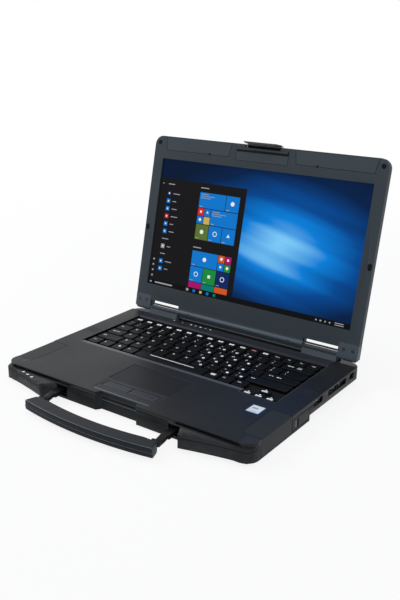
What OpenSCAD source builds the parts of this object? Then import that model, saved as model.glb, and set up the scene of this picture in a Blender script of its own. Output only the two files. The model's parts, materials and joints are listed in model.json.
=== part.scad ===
// Rugged laptop computer with a carrying handle at the front, screen open.
// X runs to the right, Y to the back and Z up. The origin lies on the table,
// under the middle of the outline with the screen open and the handle out.

/* [Case] */
// Width of the case beside the keyboard well
side_w = 25.5; // [24:0.5:30]
// Height of the palm rest above the table
deck_h = 23.5; // [23:0.5:26]
// Height of the seam between the lower and the upper case
seam_h = 19; // [18:0.5:20]
// Height of the rubber feet
foot_h = 1.5; // [1:0.5:3]
// Thickness of the case walls
wall = 2; // [1.5:0.25:2.5]
// Thickness of the case floor
floor_t = 1.6; // [1.2:0.2:2]
// Radius of the case corners
corner_r = 15; // [10:1:16]
// Reach of the front wings ahead of the palm rest
wing_reach = 16; // [12:1:20]
// Drop from the palm rest to the top of the front wings
wing_drop = 5; // [4.5:0.5:6]

/* [Screen] */
// Width of the visible screen
screen_w = 309.4; // [300:0.2:312]
// Height of the visible screen
screen_h = 174; // [168:0.5:176]
// Width of the frame at the sides of the screen
side_bezel = 15.3; // [14.5:0.1:17]
// Width of the frame above the screen
top_bezel = 30; // [28:0.5:32]
// Distance from the hinge axis to the lower edge of the screen
low_bezel = 33.4; // [32:0.2:36]
// Thickness of the lid
lid_t = 8.3; // [8.2:0.1:9.5]
// Thickness of the screen frame
bezel_t = 1.8; // [1.4:0.1:2]
// Angle between the palm rest and the screen
open_angle = 102.3; // [95:0.1:110]
// Gap between the palm rest and the frame when the lid is shut
lid_gap = 1; // [1:0.1:1.4]
// Radius of the lid corners
lid_corner_r = 12; // [8:1:14]

/* [Hinges] */
// Height of the hinge axis above the palm rest
hinge_rise = 5.5; // [5.3:0.1:6]
// Distance of the hinge axis from the rear edge of the case
hinge_back = 4.7; // [4.6:0.1:6]
// Width of a hinge cover
cover_w = 47; // [44:0.5:50]
// Width of a hinge cap at the side of the lid
cap_w = 25.8; // [24:0.1:28]
// Radius of the hinge shafts
shaft_r = 1.5; // [1.3:0.1:1.6]
// Radius of the hinge covers around the axis
cover_r = 4.5; // [4.2:0.1:4.6]
// Running clearance of a shaft in its bore
fit = 0.05; // [0.03:0.01:0.08]

/* [Keyboard] */
// Distance between letter keys in a row
key_pitch = 19; // [18.5:0.1:19.1]
// Distance between rows of letter keys
row_pitch = 18.4; // [18:0.1:18.6]
// Gap between two keys
key_gap = 2.6; // [2:0.1:3]
// Travel of a key
key_travel = 1.8; // [1.4:0.1:2]
// Height of a keycap
cap_h = 1.9; // [1.6:0.1:2]
// Depth of the key tops below the palm rest
cap_drop = 0.5; // [0.3:0.1:0.6]
// Thickness of the keyboard tray
tray_t = 0.8; // [0.6:0.1:1]
// Distance of the space bar row from the front edge of the case
key_front = 117.4; // [115:0.2:120]
// Depth of the indicator strip behind the keys
strip_d = 16.5; // [15:0.1:18]

/* [Touchpad] */
// Width of the touchpad
pad_w = 86; // [76:1:90]
// Depth of the touchpad
pad_d = 45; // [40:1:46]
// Distance of the touchpad from the front edge of the case
pad_front = 39; // [38.6:0.2:42]
// Width of one button below the touchpad
click_w = 37; // [32:0.5:37.5]
// Depth of the buttons below the touchpad
click_d = 12; // [10:0.5:13]
// Travel of the buttons below the touchpad
click_travel = 0.7; // [0.4:0.1:0.9]

/* [Latch] */
// Width of the latch bay in the front of the case
bay_w = 54; // [50:1:60]
// Depth of the latch bay
bay_d = 6; // [5:0.5:7]
// Width of the lid latch
latch_w = 48; // [40:1:49]
// Reach of the lid latch below the screen frame
latch_reach = 9.6; // [9.2:0.1:10]

/* [Handle] */
// Width of the handle grip at its back
grip_w = 168; // [160:1:172]
// Depth of the grip at its ends
grip_d = 15; // [12:0.5:16]
// Height of the grip
grip_h = 12.5; // [10:0.5:13]
// Bow of the grip at its middle
grip_bow = 8.5; // [4:0.5:9]
// Distance that the handle slides out of the case
handle_travel = 32; // [26:1:34]
// Width of a handle arm
arm_w = 10; // [8:0.5:11]
// Height of a handle arm
arm_h = 7; // [5:0.5:8]
// Distance between the two handle arms
arm_gap = 160; // [156:1:162]

/* [Openings] */
// Width of the opening of a USB socket
usb_w = 12.5; // [12:0.1:13]
// Height of the opening of a USB socket
usb_h = 5.1; // [4.5:0.1:5.3]
// Radius of the opening of the audio socket
audio_r = 1.8; // [1.7:0.05:2]
// Radius of the opening of the power socket
power_r = 2.8; // [2.5:0.1:3]

/* [Inside] */
// Width of the battery pack
battery_w = 118; // [100:1:122]
// Depth of the battery pack
battery_d = 72; // [60:1:74]
// Radius of the fan rotor
fan_r = 23; // [20:0.5:24]
// Number of blades on the fan
fan_blades = 11; // [7:1:15]

/* [Hidden] */
$fn = 64;
eps = 0.01;
gap = 0.3;
big = 600;

// Lip of the lid latch, and where it comes to with the lid shut
lip_t = 1.4;
lip_z = deck_h + 2*lid_gap - latch_reach;
lip_room = 0.5;

// Screen and hinge places
tilt = open_angle - 90;
lid_front = hinge_rise - lid_gap;
lid_back = lid_t - lid_front;
lid_w = screen_w + 2*side_bezel;
lid_top = low_bezel + screen_h + top_bezel;
lid_lean = lid_top*sin(tilt) + lid_back*cos(tilt) - hinge_back;
slot_top = 11.4;
cap_top = 17.4;
barrel_top = 7.9;
cap_in = lid_w/2 - cap_w;
cover_out = cap_in - 0.6;
cover_in = cover_out - cover_w;
barrel_end = cover_in - 0.6;

// Places along a row of keys, counted in key pitches from the left end of the row
key_l = -7.49474*key_pitch;
key_r = key_l + 14.7368*key_pitch;
function key_at(n) = key_l + n*key_pitch;
well_l = key_l - 4.6;
well_r = key_r + 5.4;
fn_room = 28;
trough_d = 8;
case_w = 2*(side_w - well_l);
case_d = key_front + 4*row_pitch + fn_room + strip_d + gap + trough_d + hinge_back;

// Places along the case
grip_front = handle_travel + grip_d + 1 + grip_bow;
front_y = (grip_front - case_d - lid_lean)/2;
rear_y = front_y + case_d;
axis_y = rear_y - hinge_back;
axis_z = deck_h + hinge_rise;
half_w = case_w/2;
floor_z = foot_h + floor_t;
deck_skin = 1.8;
trough_y = axis_y - trough_d;
trough_drop = 3;

// Keyboard places
strip_back = trough_y - gap;
cap_z = deck_h - cap_drop - cap_h;
well_z = cap_z - key_travel - gap - tray_t;
bottom_row_y = front_y + key_front;
well_back = bottom_row_y + 4*row_pitch + fn_room;
arrow_w = 13.4;
arrow_pitch = arrow_w + 1;
arrow_d = 10;
arrow_x = key_at(13.726);
arrow_l = arrow_x - 1.5*arrow_pitch - 0.8;

// Wing, pocket and front places
centre_w = arm_gap - 16;
wing_in = arm_gap/2 + arm_w/2 + 3;
wing_tip = wing_in + 8;
wing_end = half_w - 4.5;
wing_z = 3.5;
pocket_z = 4.6;
pocket_top = 17;
arm_z = (pocket_z + pocket_top)/2;

// Side openings
port_z = 14;
port_h = 7.2;
port_a = [front_y + 161.5, front_y + 206.5];
port_b = [front_y + 127, front_y + 148];
port_c = [front_y + 216, front_y + 227];
caps_y = [front_y + 19, front_y + 80];
caps_in = half_w - 24.5;
caps_r = 9;
cap_skin = 1.5;
cap_low = 3;
bays_front = front_y + 84;
drive_y = [bays_front, bays_front + 34];
drive_z = [4.6, 16.6];
drive_w = 92;
battery_y = [bays_front, bays_front + battery_d + 4];
battery_z = [4.6, 17.2];
vent_y = [front_y + 182, front_y + 226];
vent_z = [9.5, 16.5];

// Lid details
camera_w = 76;
camera_h = 19;
antenna_l = [-lid_w/2 + 18, -camera_w/2 - 8];
antenna_r = [camera_w/2 + 9, lid_w/2 - 14];
antenna_h = 17;
panel_t = 3.2;
pocket_in = 2.5;

// A plate with round corners, from its middle
module rounded(w, d, r) {
    square([w - 2*r, d], center=true);
    square([w, d - 2*r], center=true);
    for (sx = [-1, 1], sy = [-1, 1])
        translate([sx*(w/2 - r), sy*(d/2 - r)]) circle(r);
}

// A plain box from its lowest to its highest corner
module block(a, b) {
    translate(a) cube(b - a);
}

// Turns what is drawn upright about the hinge axis to where the open lid is
module on_lid() {
    translate([0, axis_y, axis_z]) rotate([-tilt, 0, 0]) children();
}

// Draws a flat outline (x, up) in the lid and gives it a thickness from y0 to y1
module lid_plate(y0, y1) {
    translate([0, y1, 0]) rotate([90, 0, 0]) linear_extrude(y1 - y0) children();
}

// A rod along X
module rod(x0, x1, r) {
    translate([x0, 0, 0]) rotate([0, 90, 0]) cylinder(r=r, h=x1 - x0);
}

// Both sides of the machine
module both() {
    children();
    mirror([1, 0, 0]) children();
}

// Outline of the case seen from above
module case_outline(inset=0) {
    w = case_w - 2*inset;
    r = corner_r - inset;
    y0 = front_y + inset;
    y1 = rear_y - inset;
    translate([0, (y0 + y1)/2]) rounded(w, y1 - y0, r);
}

// How far a wing's front edge stands ahead of the palm rest at x
function wing_y(x) = front_y - 1
    - (wing_reach - 1)*pow(max(0, (wing_end - x)/(wing_end - wing_tip)), 1.3);

// Outline of the right front wing
module wing_outline() {
    steps = 10;
    front = [for (i = [0 : steps]) let (x = wing_tip + (wing_end - wing_tip)*i/steps) [x, wing_y(x)]];
    polygon(concat([[wing_in, front_y + 4]], [[wing_in, front_y]], front,
        [[half_w - 1, front_y + 6], [half_w, front_y + corner_r], [half_w - 10, front_y + corner_r]]));
}

// The bay for the lid latch in the front of the case
module latch_bay(z0, z1) {
    translate([0, 0, z0]) linear_extrude(z1 - z0)
        polygon([[-bay_w/2 - 2, front_y - 1], [-bay_w/2 - 2, front_y], [-bay_w/2 + 2, front_y + bay_d],
            [bay_w/2 - 2, front_y + bay_d], [bay_w/2 + 2, front_y], [bay_w/2 + 2, front_y - 1]]);
}

// Outline of the right corner cap seen from above, round at its inner front corner
module cap_outline(less, reach) {
    x0 = caps_in + less;
    y0 = caps_y[0] + less;
    translate([x0 + caps_r, y0 + caps_r]) circle(caps_r);
    translate([x0 + caps_r, y0]) square([half_w + reach - x0 - caps_r, caps_y[1] - less - y0]);
    translate([x0, y0 + caps_r]) square([caps_r + 1, caps_y[1] - less - y0 - caps_r]);
}

// Room for the corner caps
module caps_room() {
    both() {
        translate([0, 0, deck_h - cap_skin]) linear_extrude(cap_skin + 1) cap_outline(0, 1);
        block([half_w - cap_skin, caps_y[0], cap_low], [half_w + 1, caps_y[1], deck_h]);
    }
}

// Room for what slides in or looks out at the right side
module right_openings() {
    for (p = [port_a, port_b, port_c])
        block([half_w - wall - 1, p[0], port_z], [half_w + 1, p[1], port_z + port_h]);
    block([half_w - wall - 1, drive_y[0], drive_z[0]], [half_w + 1, drive_y[1], drive_z[1]]);
}

// Room for what slides in or looks out at the left side
module left_openings() {
    block([-half_w - 1, battery_y[0], battery_z[0]], [-half_w + wall + 1, battery_y[1], battery_z[1]]);
    for (y = [vent_y[0] : 4 : vent_y[1] - 2])
        block([-half_w - 1, y, vent_z[0]], [-half_w + wall + 1, y + 2.4, vent_z[1]]);
}

// The lower side edges of the case are bevelled behind the doors; grow moves the bevel inwards
bevel_w = 6.5;
bevel_h = 7;
module under_bevel(side, y0, grow=0) {
    slope = bevel_w/bevel_h;
    low = half_w - bevel_w - grow - slope;
    translate([0, big, foot_h]) rotate([90, 0, 0]) linear_extrude(big - y0)
        polygon([[side*low, -1], [side*(half_w + 1), -1], [side*(half_w + 1), (bevel_w + grow + 1)/slope]]);
}
module both_bevels(grow=0) {
    under_bevel(1, drive_y[1] + 1, grow);
    under_bevel(-1, battery_y[1] + 4, grow);
}

// Ribs that carry the battery and the drive
module bay_ribs() {
    for (y = [battery_y[0] + 8, battery_y[1] - 12])
        block([-half_w + wall, y, floor_z], [-half_w + wall + battery_w, y + 4, battery_z[0]]);
    for (y = [drive_y[0] + 4, drive_y[1] - 7])
        block([half_w - drive_w, y, floor_z], [half_w - wall, y + 3, drive_z[0]]);
}

module bottom_case() {
    color([0.16, 0.17, 0.19]) difference() {
        union() {
            difference() {
                translate([0, 0, foot_h]) linear_extrude(seam_h - foot_h) case_outline();
                difference() {
                    translate([0, 0, floor_z]) linear_extrude(big) case_outline(wall);
                    both_bevels(wall + 0.8);
                }
            }
            bay_ribs();
            // front wall between the handle pockets, thick enough for the latch bay
            block([-centre_w/2, front_y, foot_h], [centre_w/2, front_y + bay_d + 4, seam_h]);
            both() translate([0, 0, wing_z]) linear_extrude(deck_h - wing_drop - wing_z) wing_outline();
        }
        latch_bay(0, big);
        // slot that the latch's lip enters
        block([-latch_w/2 + 1, front_y + bay_d - 1, lip_z - lip_room],
            [latch_w/2 - 1, front_y + bay_d + 2.6, lip_z + lip_t + lip_room]);
        // handle pockets
        both() block([centre_w/2, front_y - 20, pocket_z], [wing_in, front_y + wall + 1, pocket_top]);
        caps_room();
        right_openings();
        left_openings();
        both_bevels();
        // holes for the case screws
        for (p = screw_places) translate([p[0], p[1], foot_h - 1]) {
            cylinder(r=screw_r + 0.2, h=floor_t + 2);
            cylinder(r=screw_head_r + 0.2, h=1 + screw_head_h + 0.1);
        }
    }
}

// Outline of the keyboard well
well_front = bottom_row_y - 16.5;
arrow_front = well_front - 4.5;
module well_outline(less=0) {
    polygon([[well_l + less, well_back - less], [well_l + less, well_front + less],
        [arrow_l + less, well_front + less], [arrow_l + less, arrow_front + less],
        [well_r - less, arrow_front + less], [well_r - less, well_back - less]]);
}

module top_case() {
    color([0.2, 0.21, 0.23]) difference() {
        union() {
            difference() {
                translate([0, 0, seam_h]) linear_extrude(deck_h - seam_h) case_outline();
                translate([0, 0, seam_h - 1])
                    linear_extrude(deck_h - deck_skin - seam_h + 1) case_outline(wall);
            }
            // walls of the keyboard well
            translate([0, 0, well_z]) linear_extrude(deck_h - deck_skin/2 - well_z)
                offset_well(wall);
            // body behind the strip, down to the hinge trough
            block([well_l - wall, strip_back - wall, seam_h],
                [well_r + wall, rear_y - wall, deck_h - trough_drop]);
            // front bar above the latch bay
            block([-centre_w/2, front_y + wall, seam_h],
                [centre_w/2, front_y + bay_d + 4, deck_h - deck_skin]);
        }
        translate([0, 0, well_z - 1]) linear_extrude(big) well_outline();
        // seat of the indicator strip
        block([well_l, well_back - eps, deck_h - 2.2], [well_r, strip_back, deck_h + 1]);
        block([well_l, well_back - eps, well_z - 1], [well_r, strip_back - wall, deck_h + 1]);
        block([power_x - power_w/2 - gap, power_y - power_d/2 - gap, seam_h - 1],
            [power_x + power_w/2 + gap, power_y + power_d/2 + gap, deck_h]);
        // hinge trough and the shallow ledge beside it
        block([-cap_in - 2.5, trough_y, deck_h - trough_drop], [cap_in + 2.5, rear_y + 1, deck_h + 1]);
        block([-half_w - 1, trough_y, deck_h - 1], [half_w + 1, rear_y + 1, deck_h + 1]);
        latch_bay(0, big);
        // seat of the touchpad
        translate([0, front_y + pad_front + pad_d/2, deck_h - 1.2]) linear_extrude(3)
            square([pad_w + 0.2, pad_d + 0.2], center=true);
        // seat of the click buttons and their frame
        block([-click_w - 4, front_y + 10, deck_h - 1.4], [click_w + 4, front_y + pad_front - 2, deck_h + 1]);
        block([-click_w - 1, click_y - click_d/2 - 1, deck_h - 5],
            [click_w + 1, click_y + click_d/2 + 1, deck_h]);
        // groove under the palm rest above each wing
        both() block([wing_in - 6, front_y - 1, seam_h - 1],
            [half_w - corner_r, front_y + 1.2, deck_h - deck_skin]);
        caps_room();
        right_openings();
        // speaker openings
        for (s = [-1, 1]) translate([s*speaker_x, speaker_y, 0]) {
            translate([0, 0, deck_h - grille_t - 0.2])
                linear_extrude(3) square([grille_w + 0.2, grille_d + 0.2], center=true);
            translate([0, 0, deck_h - 5]) linear_extrude(6) square([grille_w - 2, grille_d - 2], center=true);
        }
    }
}

// The well's outline made wider by a wall
module offset_well(t) {
    translate([-t, 0]) well_outline();
    translate([t, 0]) well_outline();
    translate([0, -t]) well_outline();
    translate([0, t]) well_outline();
    for (sx = [-1, 1], sy = [-1, 1]) translate([sx*t, sy*t]) well_outline();
}

// Caps over the front corners of the palm rest and down the sides
module corner_caps() {
    color([0.17, 0.18, 0.2]) both() difference() {
        union() {
            translate([0, 0, deck_h - cap_skin]) linear_extrude(cap_skin) cap_outline(0.1, 0);
            block([half_w - cap_skin, caps_y[0] + 0.1, cap_low + 0.1], [half_w, caps_y[1] - 0.1, deck_h]);
        }
        translate([half_w, 0, deck_h]) rotate([0, 45, 0]) cube([1.4, big, 1.4], center=true);
    }
}

// Strip behind the keyboard with windows for the indicators
strip_bevel = 2.8;
module indicator_strip() {
    color([0.13, 0.14, 0.16]) difference() {
        union() {
            block([well_l + 0.1, well_back, deck_h - 2.2], [well_r - 0.1, strip_back - 0.1, deck_h]);
            block([well_l + 0.1, well_back, well_z + 1.3], [well_r - 0.1, well_back + 2, deck_h - 2.2]);
        }
        // front edge is bevelled towards the keys
        translate([0, well_back, deck_h])
            rotate([45, 0, 0]) cube([big, strip_bevel, strip_bevel], center=true);
        block([power_x - power_w/2 - gap, power_y - power_d/2 - gap, deck_h - 6],
            [power_x + power_w/2 + gap, power_y + power_d/2 + gap, deck_h + 1]);
    }
}

// Curved covers of the two hinges
module cover_section() {
    circle(cover_r);
    foot = -hinge_rise - trough_drop;
    polygon([[-7.9, foot], [-7.9, foot + 1], [-6.9, foot + 2.6], [-5.9, foot + 5.2], [-5, foot + 7.8],
        [-4.3, foot + 9.6], [0, 0], [cover_r, 0], [cover_r, foot]]);
}

module cover_room() {
    circle(3.2);
    translate([-3.2, -hinge_rise - trough_drop - 1]) square([6.4, hinge_rise + trough_drop + 1]);
}

module hinge_covers() {
    color([0.32, 0.37, 0.41]) both() translate([0, axis_y, axis_z]) difference() {
        rotate([90, 0, 90]) translate([0, 0, cover_in]) linear_extrude(cover_w) cover_section();
        rotate([90, 0, 90]) translate([0, 0, cover_in + 2]) linear_extrude(cover_w - 4) cover_room();
        rod(cover_in + 10, cover_out + 1, shaft_r + gap);
    }
}

// Brackets inside the hinge covers, which hold the shafts
module hinge_brackets() {
    color([0.55, 0.56, 0.58]) both() translate([0, axis_y, axis_z]) difference() {
        union() {
            rod(cover_in + 4, cover_out - 4, shaft_r + 1.2);
            block([cover_in + 4, -2.4, -hinge_rise - trough_drop], [cover_out - 4, 2.4, 0]);
        }
        rod(cover_in, cover_out, shaft_r + fit);
    }
}

module hinge_shafts() {
    color([0.7, 0.71, 0.73]) both() translate([0, axis_y, axis_z]) rod(cover_in + 4, cap_in + 13, shaft_r);
}

// Keyboard
stem = 5;
stem_hold = 0.4;

// Middle and width of each key in a row, from a first and a last edge
function key_row(x0, n, pitch) = [for (i = [0 : n - 1]) [x0 + pitch*i, pitch - key_gap]];
function span(x0, x1) = [(x0 + x1)/2, x1 - x0];

function key_span(a, b) = span(key_at(a), key_at(b));
key_side = (key_pitch - key_gap)/2;
fn_pitch = (key_r - key_l + key_gap)/17;
fn_y = bottom_row_y + 4*row_pitch + 15.6;
num_x = key_at(1.126);
top_x = key_at(1.626);
home_x = key_at(1.837);
low_x = key_at(2.31);
fn_row = key_row(key_l + (fn_pitch - key_gap)/2, 17, fn_pitch);
num_row = concat([span(key_l, num_x - key_pitch/2 - key_gap/2)], key_row(num_x, 12, key_pitch));
top_row = concat(key_row(top_x, 12, key_pitch), [span(top_x + 12*key_pitch - key_side, key_r)]);
home_row = key_row(home_x, 11, key_pitch);
low_row = key_row(low_x, 10, key_pitch);
space_span = key_span(4.08, 9.42);
mod_low = [for (e = [[0, 0.86], [1.02, 1.89], [2.04, 2.88], [3.04, 3.92], [9.55, 10.37], [10.53, 11.39],
    [11.56, 12.39]]) key_span(e[0], e[1])];
caps_span = span(key_l, home_x - key_side - key_gap);
tab_span = span(key_l, top_x - key_side - key_gap);
enter_span = span(home_x + 11*key_pitch - key_side, key_r);
backspace_span = span(num_x + 12*key_pitch - key_side, key_r);
shift_spans = [span(key_l, low_x - key_side - key_gap), span(low_x + 10*key_pitch - key_side, key_r)];
arrow_low_y = bottom_row_y - 15;
arrow_up_y = bottom_row_y - 1.5;

// Outline of a keycap with cut corners, drawn in by inset
function cap_corners(w, d, inset) = let (x = w/2 - inset, y = d/2 - inset, c = 1.6)
    [[c - x, -y], [x - c, -y], [x, c - y], [x, y - c], [x - c, y], [c - x, y], [-x, y - c], [-x, c - y]];

// One keycap with its guide stem, around its middle
cap_base_h = 1.2;
module keycap(w, d) {
    translate([0, 0, cap_z]) linear_extrude(cap_base_h) polygon(cap_corners(w, d, 0));
    translate([0, 0, cap_z + cap_base_h]) linear_extrude(cap_h - cap_base_h) polygon(cap_corners(w, d, 0.7));
    block([-stem/2, -stem/2, well_z + tray_t - stem_hold], [stem/2, stem/2, cap_z]);
}

// Keys of one row
module keys(row, y, d) {
    for (k = row) translate([k[0], y, 0]) keycap(k[1], d);
}

// Holes for the stems of one row
module stem_holes(row, y) {
    s = stem/2 + gap;
    for (k = row) block([k[0] - s, y - s, 0], [k[0] + s, y + s, big]);
}

key_d = row_pitch - key_gap;
fn_d = 12;
module keyboard_tray() {
    color([0.09, 0.09, 0.1]) difference() {
        translate([0, 0, well_z]) linear_extrude(tray_t) well_outline(0.1);
        stem_holes(fn_row, fn_y);
        stem_holes(concat(num_row, [backspace_span]), number_y);
        stem_holes(concat(top_row, [tab_span]), upper_y);
        stem_holes(concat(home_row, [caps_span, enter_span]), home_y);
        stem_holes(concat(low_row, shift_spans), lower_y);
        stem_holes(concat(mod_low, [space_span]), bottom_row_y);
        stem_holes([for (i = [-1 : 1]) [arrow_x + arrow_pitch*i, 0]], arrow_low_y);
        stem_holes([[arrow_x, 0]], arrow_up_y);
    }
}

key_black = [0.1, 0.1, 0.11];
number_y = bottom_row_y + 4*row_pitch;
upper_y = bottom_row_y + 3*row_pitch;
home_y = bottom_row_y + 2*row_pitch;
lower_y = bottom_row_y + row_pitch;
module function_keys() { color(key_black) keys(fn_row, fn_y, fn_d); }
module number_keys() { color(key_black) keys(num_row, number_y, key_d - 1); }
module upper_letter_keys() { color(key_black) keys(top_row, upper_y, key_d); }
module home_letter_keys() { color(key_black) keys(home_row, home_y, key_d); }
module lower_letter_keys() { color(key_black) keys(low_row, lower_y, key_d); }
module modifier_keys() {
    color(key_black) {
        keys([tab_span], upper_y, key_d);
        keys([caps_span], home_y, key_d);
        keys(shift_spans, lower_y, key_d);
        keys(mod_low, bottom_row_y, key_d);
    }
}
module space_bar() { color(key_black) keys([space_span], bottom_row_y, key_d + 0.8); }
module enter_key() { color(key_black) keys([enter_span], home_y, key_d); }
module backspace_key() { color(key_black) keys([backspace_span], number_y, key_d - 1); }
module arrow_keys() {
    color(key_black) {
        keys([for (i = [-1 : 1]) [arrow_x + arrow_pitch*i, arrow_w]], arrow_low_y, arrow_d);
        keys([[arrow_x, arrow_w]], arrow_up_y, arrow_d);
    }
}

// Power button in the indicator strip
power_x = key_at(3.2);
power_w = 9;
power_d = 4.6;
power_y = strip_back - 3.3;
power_h = 3;
module power_button() {
    color([0.08, 0.08, 0.09])
        block([power_x - power_w/2, power_y - power_d/2, deck_h - 0.2 - power_h],
            [power_x + power_w/2, power_y + power_d/2, deck_h - 0.2]);
}

// Touchpad and its two buttons
click_y = front_y + 26;
module touchpad() {
    color([0.15, 0.16, 0.18]) translate([0, front_y + pad_front + pad_d/2, deck_h - 1.2]) linear_extrude(0.9)
        square([pad_w, pad_d], center=true);
}

module button_frame() {
    color([0.18, 0.19, 0.21]) difference() {
        block([-click_w - 3.9, front_y + 10.1, deck_h - 1.4],
            [click_w + 3.9, front_y + pad_front - 2.1, deck_h - 0.2]);
        block([-click_w - 0.5, click_y - click_d/2 - gap, 0],
            [click_w + 0.5, click_y + click_d/2 + gap, big]);
        // sloping front lip
        translate([0, front_y + 10.1, deck_h - 0.2]) rotate([30, 0, 0]) cube([big, 3, 1.2], center=true);
    }
}

module click_button(s) {
    x0 = s > 0 ? 0.4 : -click_w;
    block([x0, click_y - click_d/2, deck_h - 3.2], [x0 + click_w - 0.4, click_y + click_d/2, deck_h - 0.4]);
}
module left_click_button() { color([0.17, 0.18, 0.2]) click_button(-1); }
module right_click_button() { color([0.17, 0.18, 0.2]) click_button(1); }

// Speakers under their dotted grilles
speaker_x = half_w - 13.5;
speaker_y = front_y + 139;
speaker_h = 3.4;
grille_w = 15.2;
grille_d = 12.2;
grille_t = 0.9;
module speaker_grilles() {
    color([0.08, 0.08, 0.09]) for (s = [-1, 1])
        translate([s*speaker_x, speaker_y, deck_h - grille_t - 0.2]) linear_extrude(grille_t) difference() {
            square([grille_w, grille_d], center=true);
            for (i = [-3 : 3], j = [-2 : 2]) translate([i*2, j*2.1]) square(1.1, center=true);
        }
}
module speakers() {
    color([0.12, 0.12, 0.13]) for (s = [-1, 1])
        translate([s*speaker_x, speaker_y, deck_h - deck_skin - speaker_h]) linear_extrude(speaker_h)
            square([grille_w - 0.2, grille_d - 2.6], center=true);
}

// Inside parts, low in the case
board_z = 8;
board_t = 1.4;
board_x = [-36, half_w - 7.5];
board_y = [front_y + 121.5, rear_y - 14];
cpu_x = [-6, 34];
fan_x = -half_w + 51.5;
fan_y = rear_y - 43;
fan_box = 29;
fan_h = 9;
axle_r = 1.5;
module motherboard() {
    color([0.1, 0.3, 0.18]) {
        block([board_x[0], board_y[0], board_z], [board_x[1], board_y[1], board_z + board_t]);
        for (i = [0 : 2], y = [board_y[0] + 5, board_y[1] - 5])
            translate([board_x[0] + 6 + (board_x[1] - board_x[0] - 12)*i/2, y, floor_z])
                cylinder(r=2.5, h=board_z - floor_z);
    }
}
module processor_plate() {
    color([0.72, 0.45, 0.3])
        block([cpu_x[0], rear_y - 60, board_z + board_t], [cpu_x[1], rear_y - 22, board_z + board_t + 1.6]);
}
pipe_r = 2;
fins_x = -half_w + 9;
fin_top = floor_z + fan_h + 1;
pipe_z = fin_top + pipe_r + 0.05;
pipe_y = rear_y - 32;
module heat_pipe() {
    color([0.75, 0.46, 0.3]) {
        translate([0, pipe_y, pipe_z]) rod(-half_w + 10, cpu_x[1] - 3, pipe_r);
        block([cpu_x[0] + 4, pipe_y - 6, board_z + board_t + 1.6], [cpu_x[1] - 6, pipe_y + 6, pipe_z]);
    }
}
module heatsink_fins() {
    color([0.7, 0.7, 0.72]) {
        for (i = [0 : 10])
            block([fins_x, vent_y[0] + 1 + 4*i, floor_z + 1], [fins_x + 12, vent_y[0] + 1.8 + 4*i, fin_top]);
        block([fins_x, vent_y[0], floor_z], [fins_x + 12, vent_y[1], floor_z + 1]);
    }
}
module fan_housing() {
    color([0.14, 0.14, 0.15]) {
        difference() {
            block([fan_x - fan_box, fan_y - fan_box, floor_z],
                [fan_x + fan_box, fan_y + fan_box, floor_z + fan_h]);
            translate([fan_x, fan_y, floor_z + 0.8]) cylinder(r=fan_r + 2, h=fan_h);
            block([fan_x - fan_box - 1, fan_y - 20, floor_z + 0.8], [fan_x, fan_y + 20, floor_z + fan_h + 1]);
        }
        translate([fan_x, fan_y, floor_z]) cylinder(r=axle_r, h=fan_h - 2.7);
    }
}
module fan_rotor() {
    color([0.1, 0.1, 0.11]) translate([fan_x, fan_y, floor_z + 1.3]) difference() {
        union() {
            cylinder(r=8, h=fan_h - 2.6);
            for (i = [0 : fan_blades - 1]) rotate([0, 0, 360/fan_blades*i])
                translate([7, -0.5, 0.6]) cube([fan_r - 7, 1, fan_h - 4]);
        }
        translate([0, 0, -1]) cylinder(r=axle_r + fit, h=fan_h - 2.4);
    }
}
memory_w = 68;
memory_d = 30;
memory_x = board_x[1] - memory_w - 35;
memory_y = board_y[0] + 8;
module memory_modules() {
    color([0.12, 0.32, 0.2]) for (i = [0, 1])
        translate([memory_x, memory_y + (memory_d + 4)*i, board_z + board_t])
            cube([memory_w, memory_d, 3.2]);
}
module wireless_card() {
    color([0.15, 0.35, 0.22])
        translate([board_x[0] + 6, board_y[0] + 10, board_z + board_t]) cube([22, 30, 2.4]);
}

// Solid-state drive in a caddy behind the door at the right side
module drive_caddy() {
    color([0.5, 0.51, 0.53])
        block([half_w - drive_w, drive_y[0] + 1, drive_z[0]],
            [half_w - wall, drive_y[1] - 1, drive_z[1] - 2]);
}
latch_travel = 3;
knob_y = drive_y[0] + 5;
module drive_door() {
    color([0.17, 0.18, 0.2]) difference() {
        block([half_w - wall, drive_y[0] + gap, drive_z[0] + gap],
            [half_w - 0.2, drive_y[1] - gap, drive_z[1] - gap]);
        block([half_w - 1.3, knob_y - 2.5, 6], [half_w + 1, knob_y + 2.5 + latch_travel, 15]);
    }
}
module drive_latch() {
    color([0.28, 0.3, 0.33]) block([half_w - 1.2, knob_y - 2.2, 6.4], [half_w - 0.2, knob_y + 2.2, 14.6]);
}

// Battery pack behind the door at the left side
module battery_pack() {
    color([0.2, 0.2, 0.22]) block([-half_w + wall, battery_y[0] + 2, battery_z[0]],
        [-half_w + wall + battery_w, battery_y[0] + 2 + battery_d, battery_z[1] - 1.2]);
}
battery_knob_y = battery_y[1] - 14;
module battery_door() {
    color([0.17, 0.18, 0.2]) difference() {
        block([-half_w + 0.2, battery_y[0] + gap, battery_z[0] + gap],
            [-half_w + wall, battery_y[1] - gap, battery_z[1] - gap]);
        block([-half_w - 1, battery_knob_y - 5, 8], [-half_w + 1.3, battery_knob_y + 5 + latch_travel, 14]);
    }
}
module battery_latch() {
    color([0.28, 0.3, 0.33])
        block([-half_w + 0.2, battery_knob_y - 4.7, 8.3], [-half_w + 1.2, battery_knob_y + 4.7, 13.7]);
}

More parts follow.
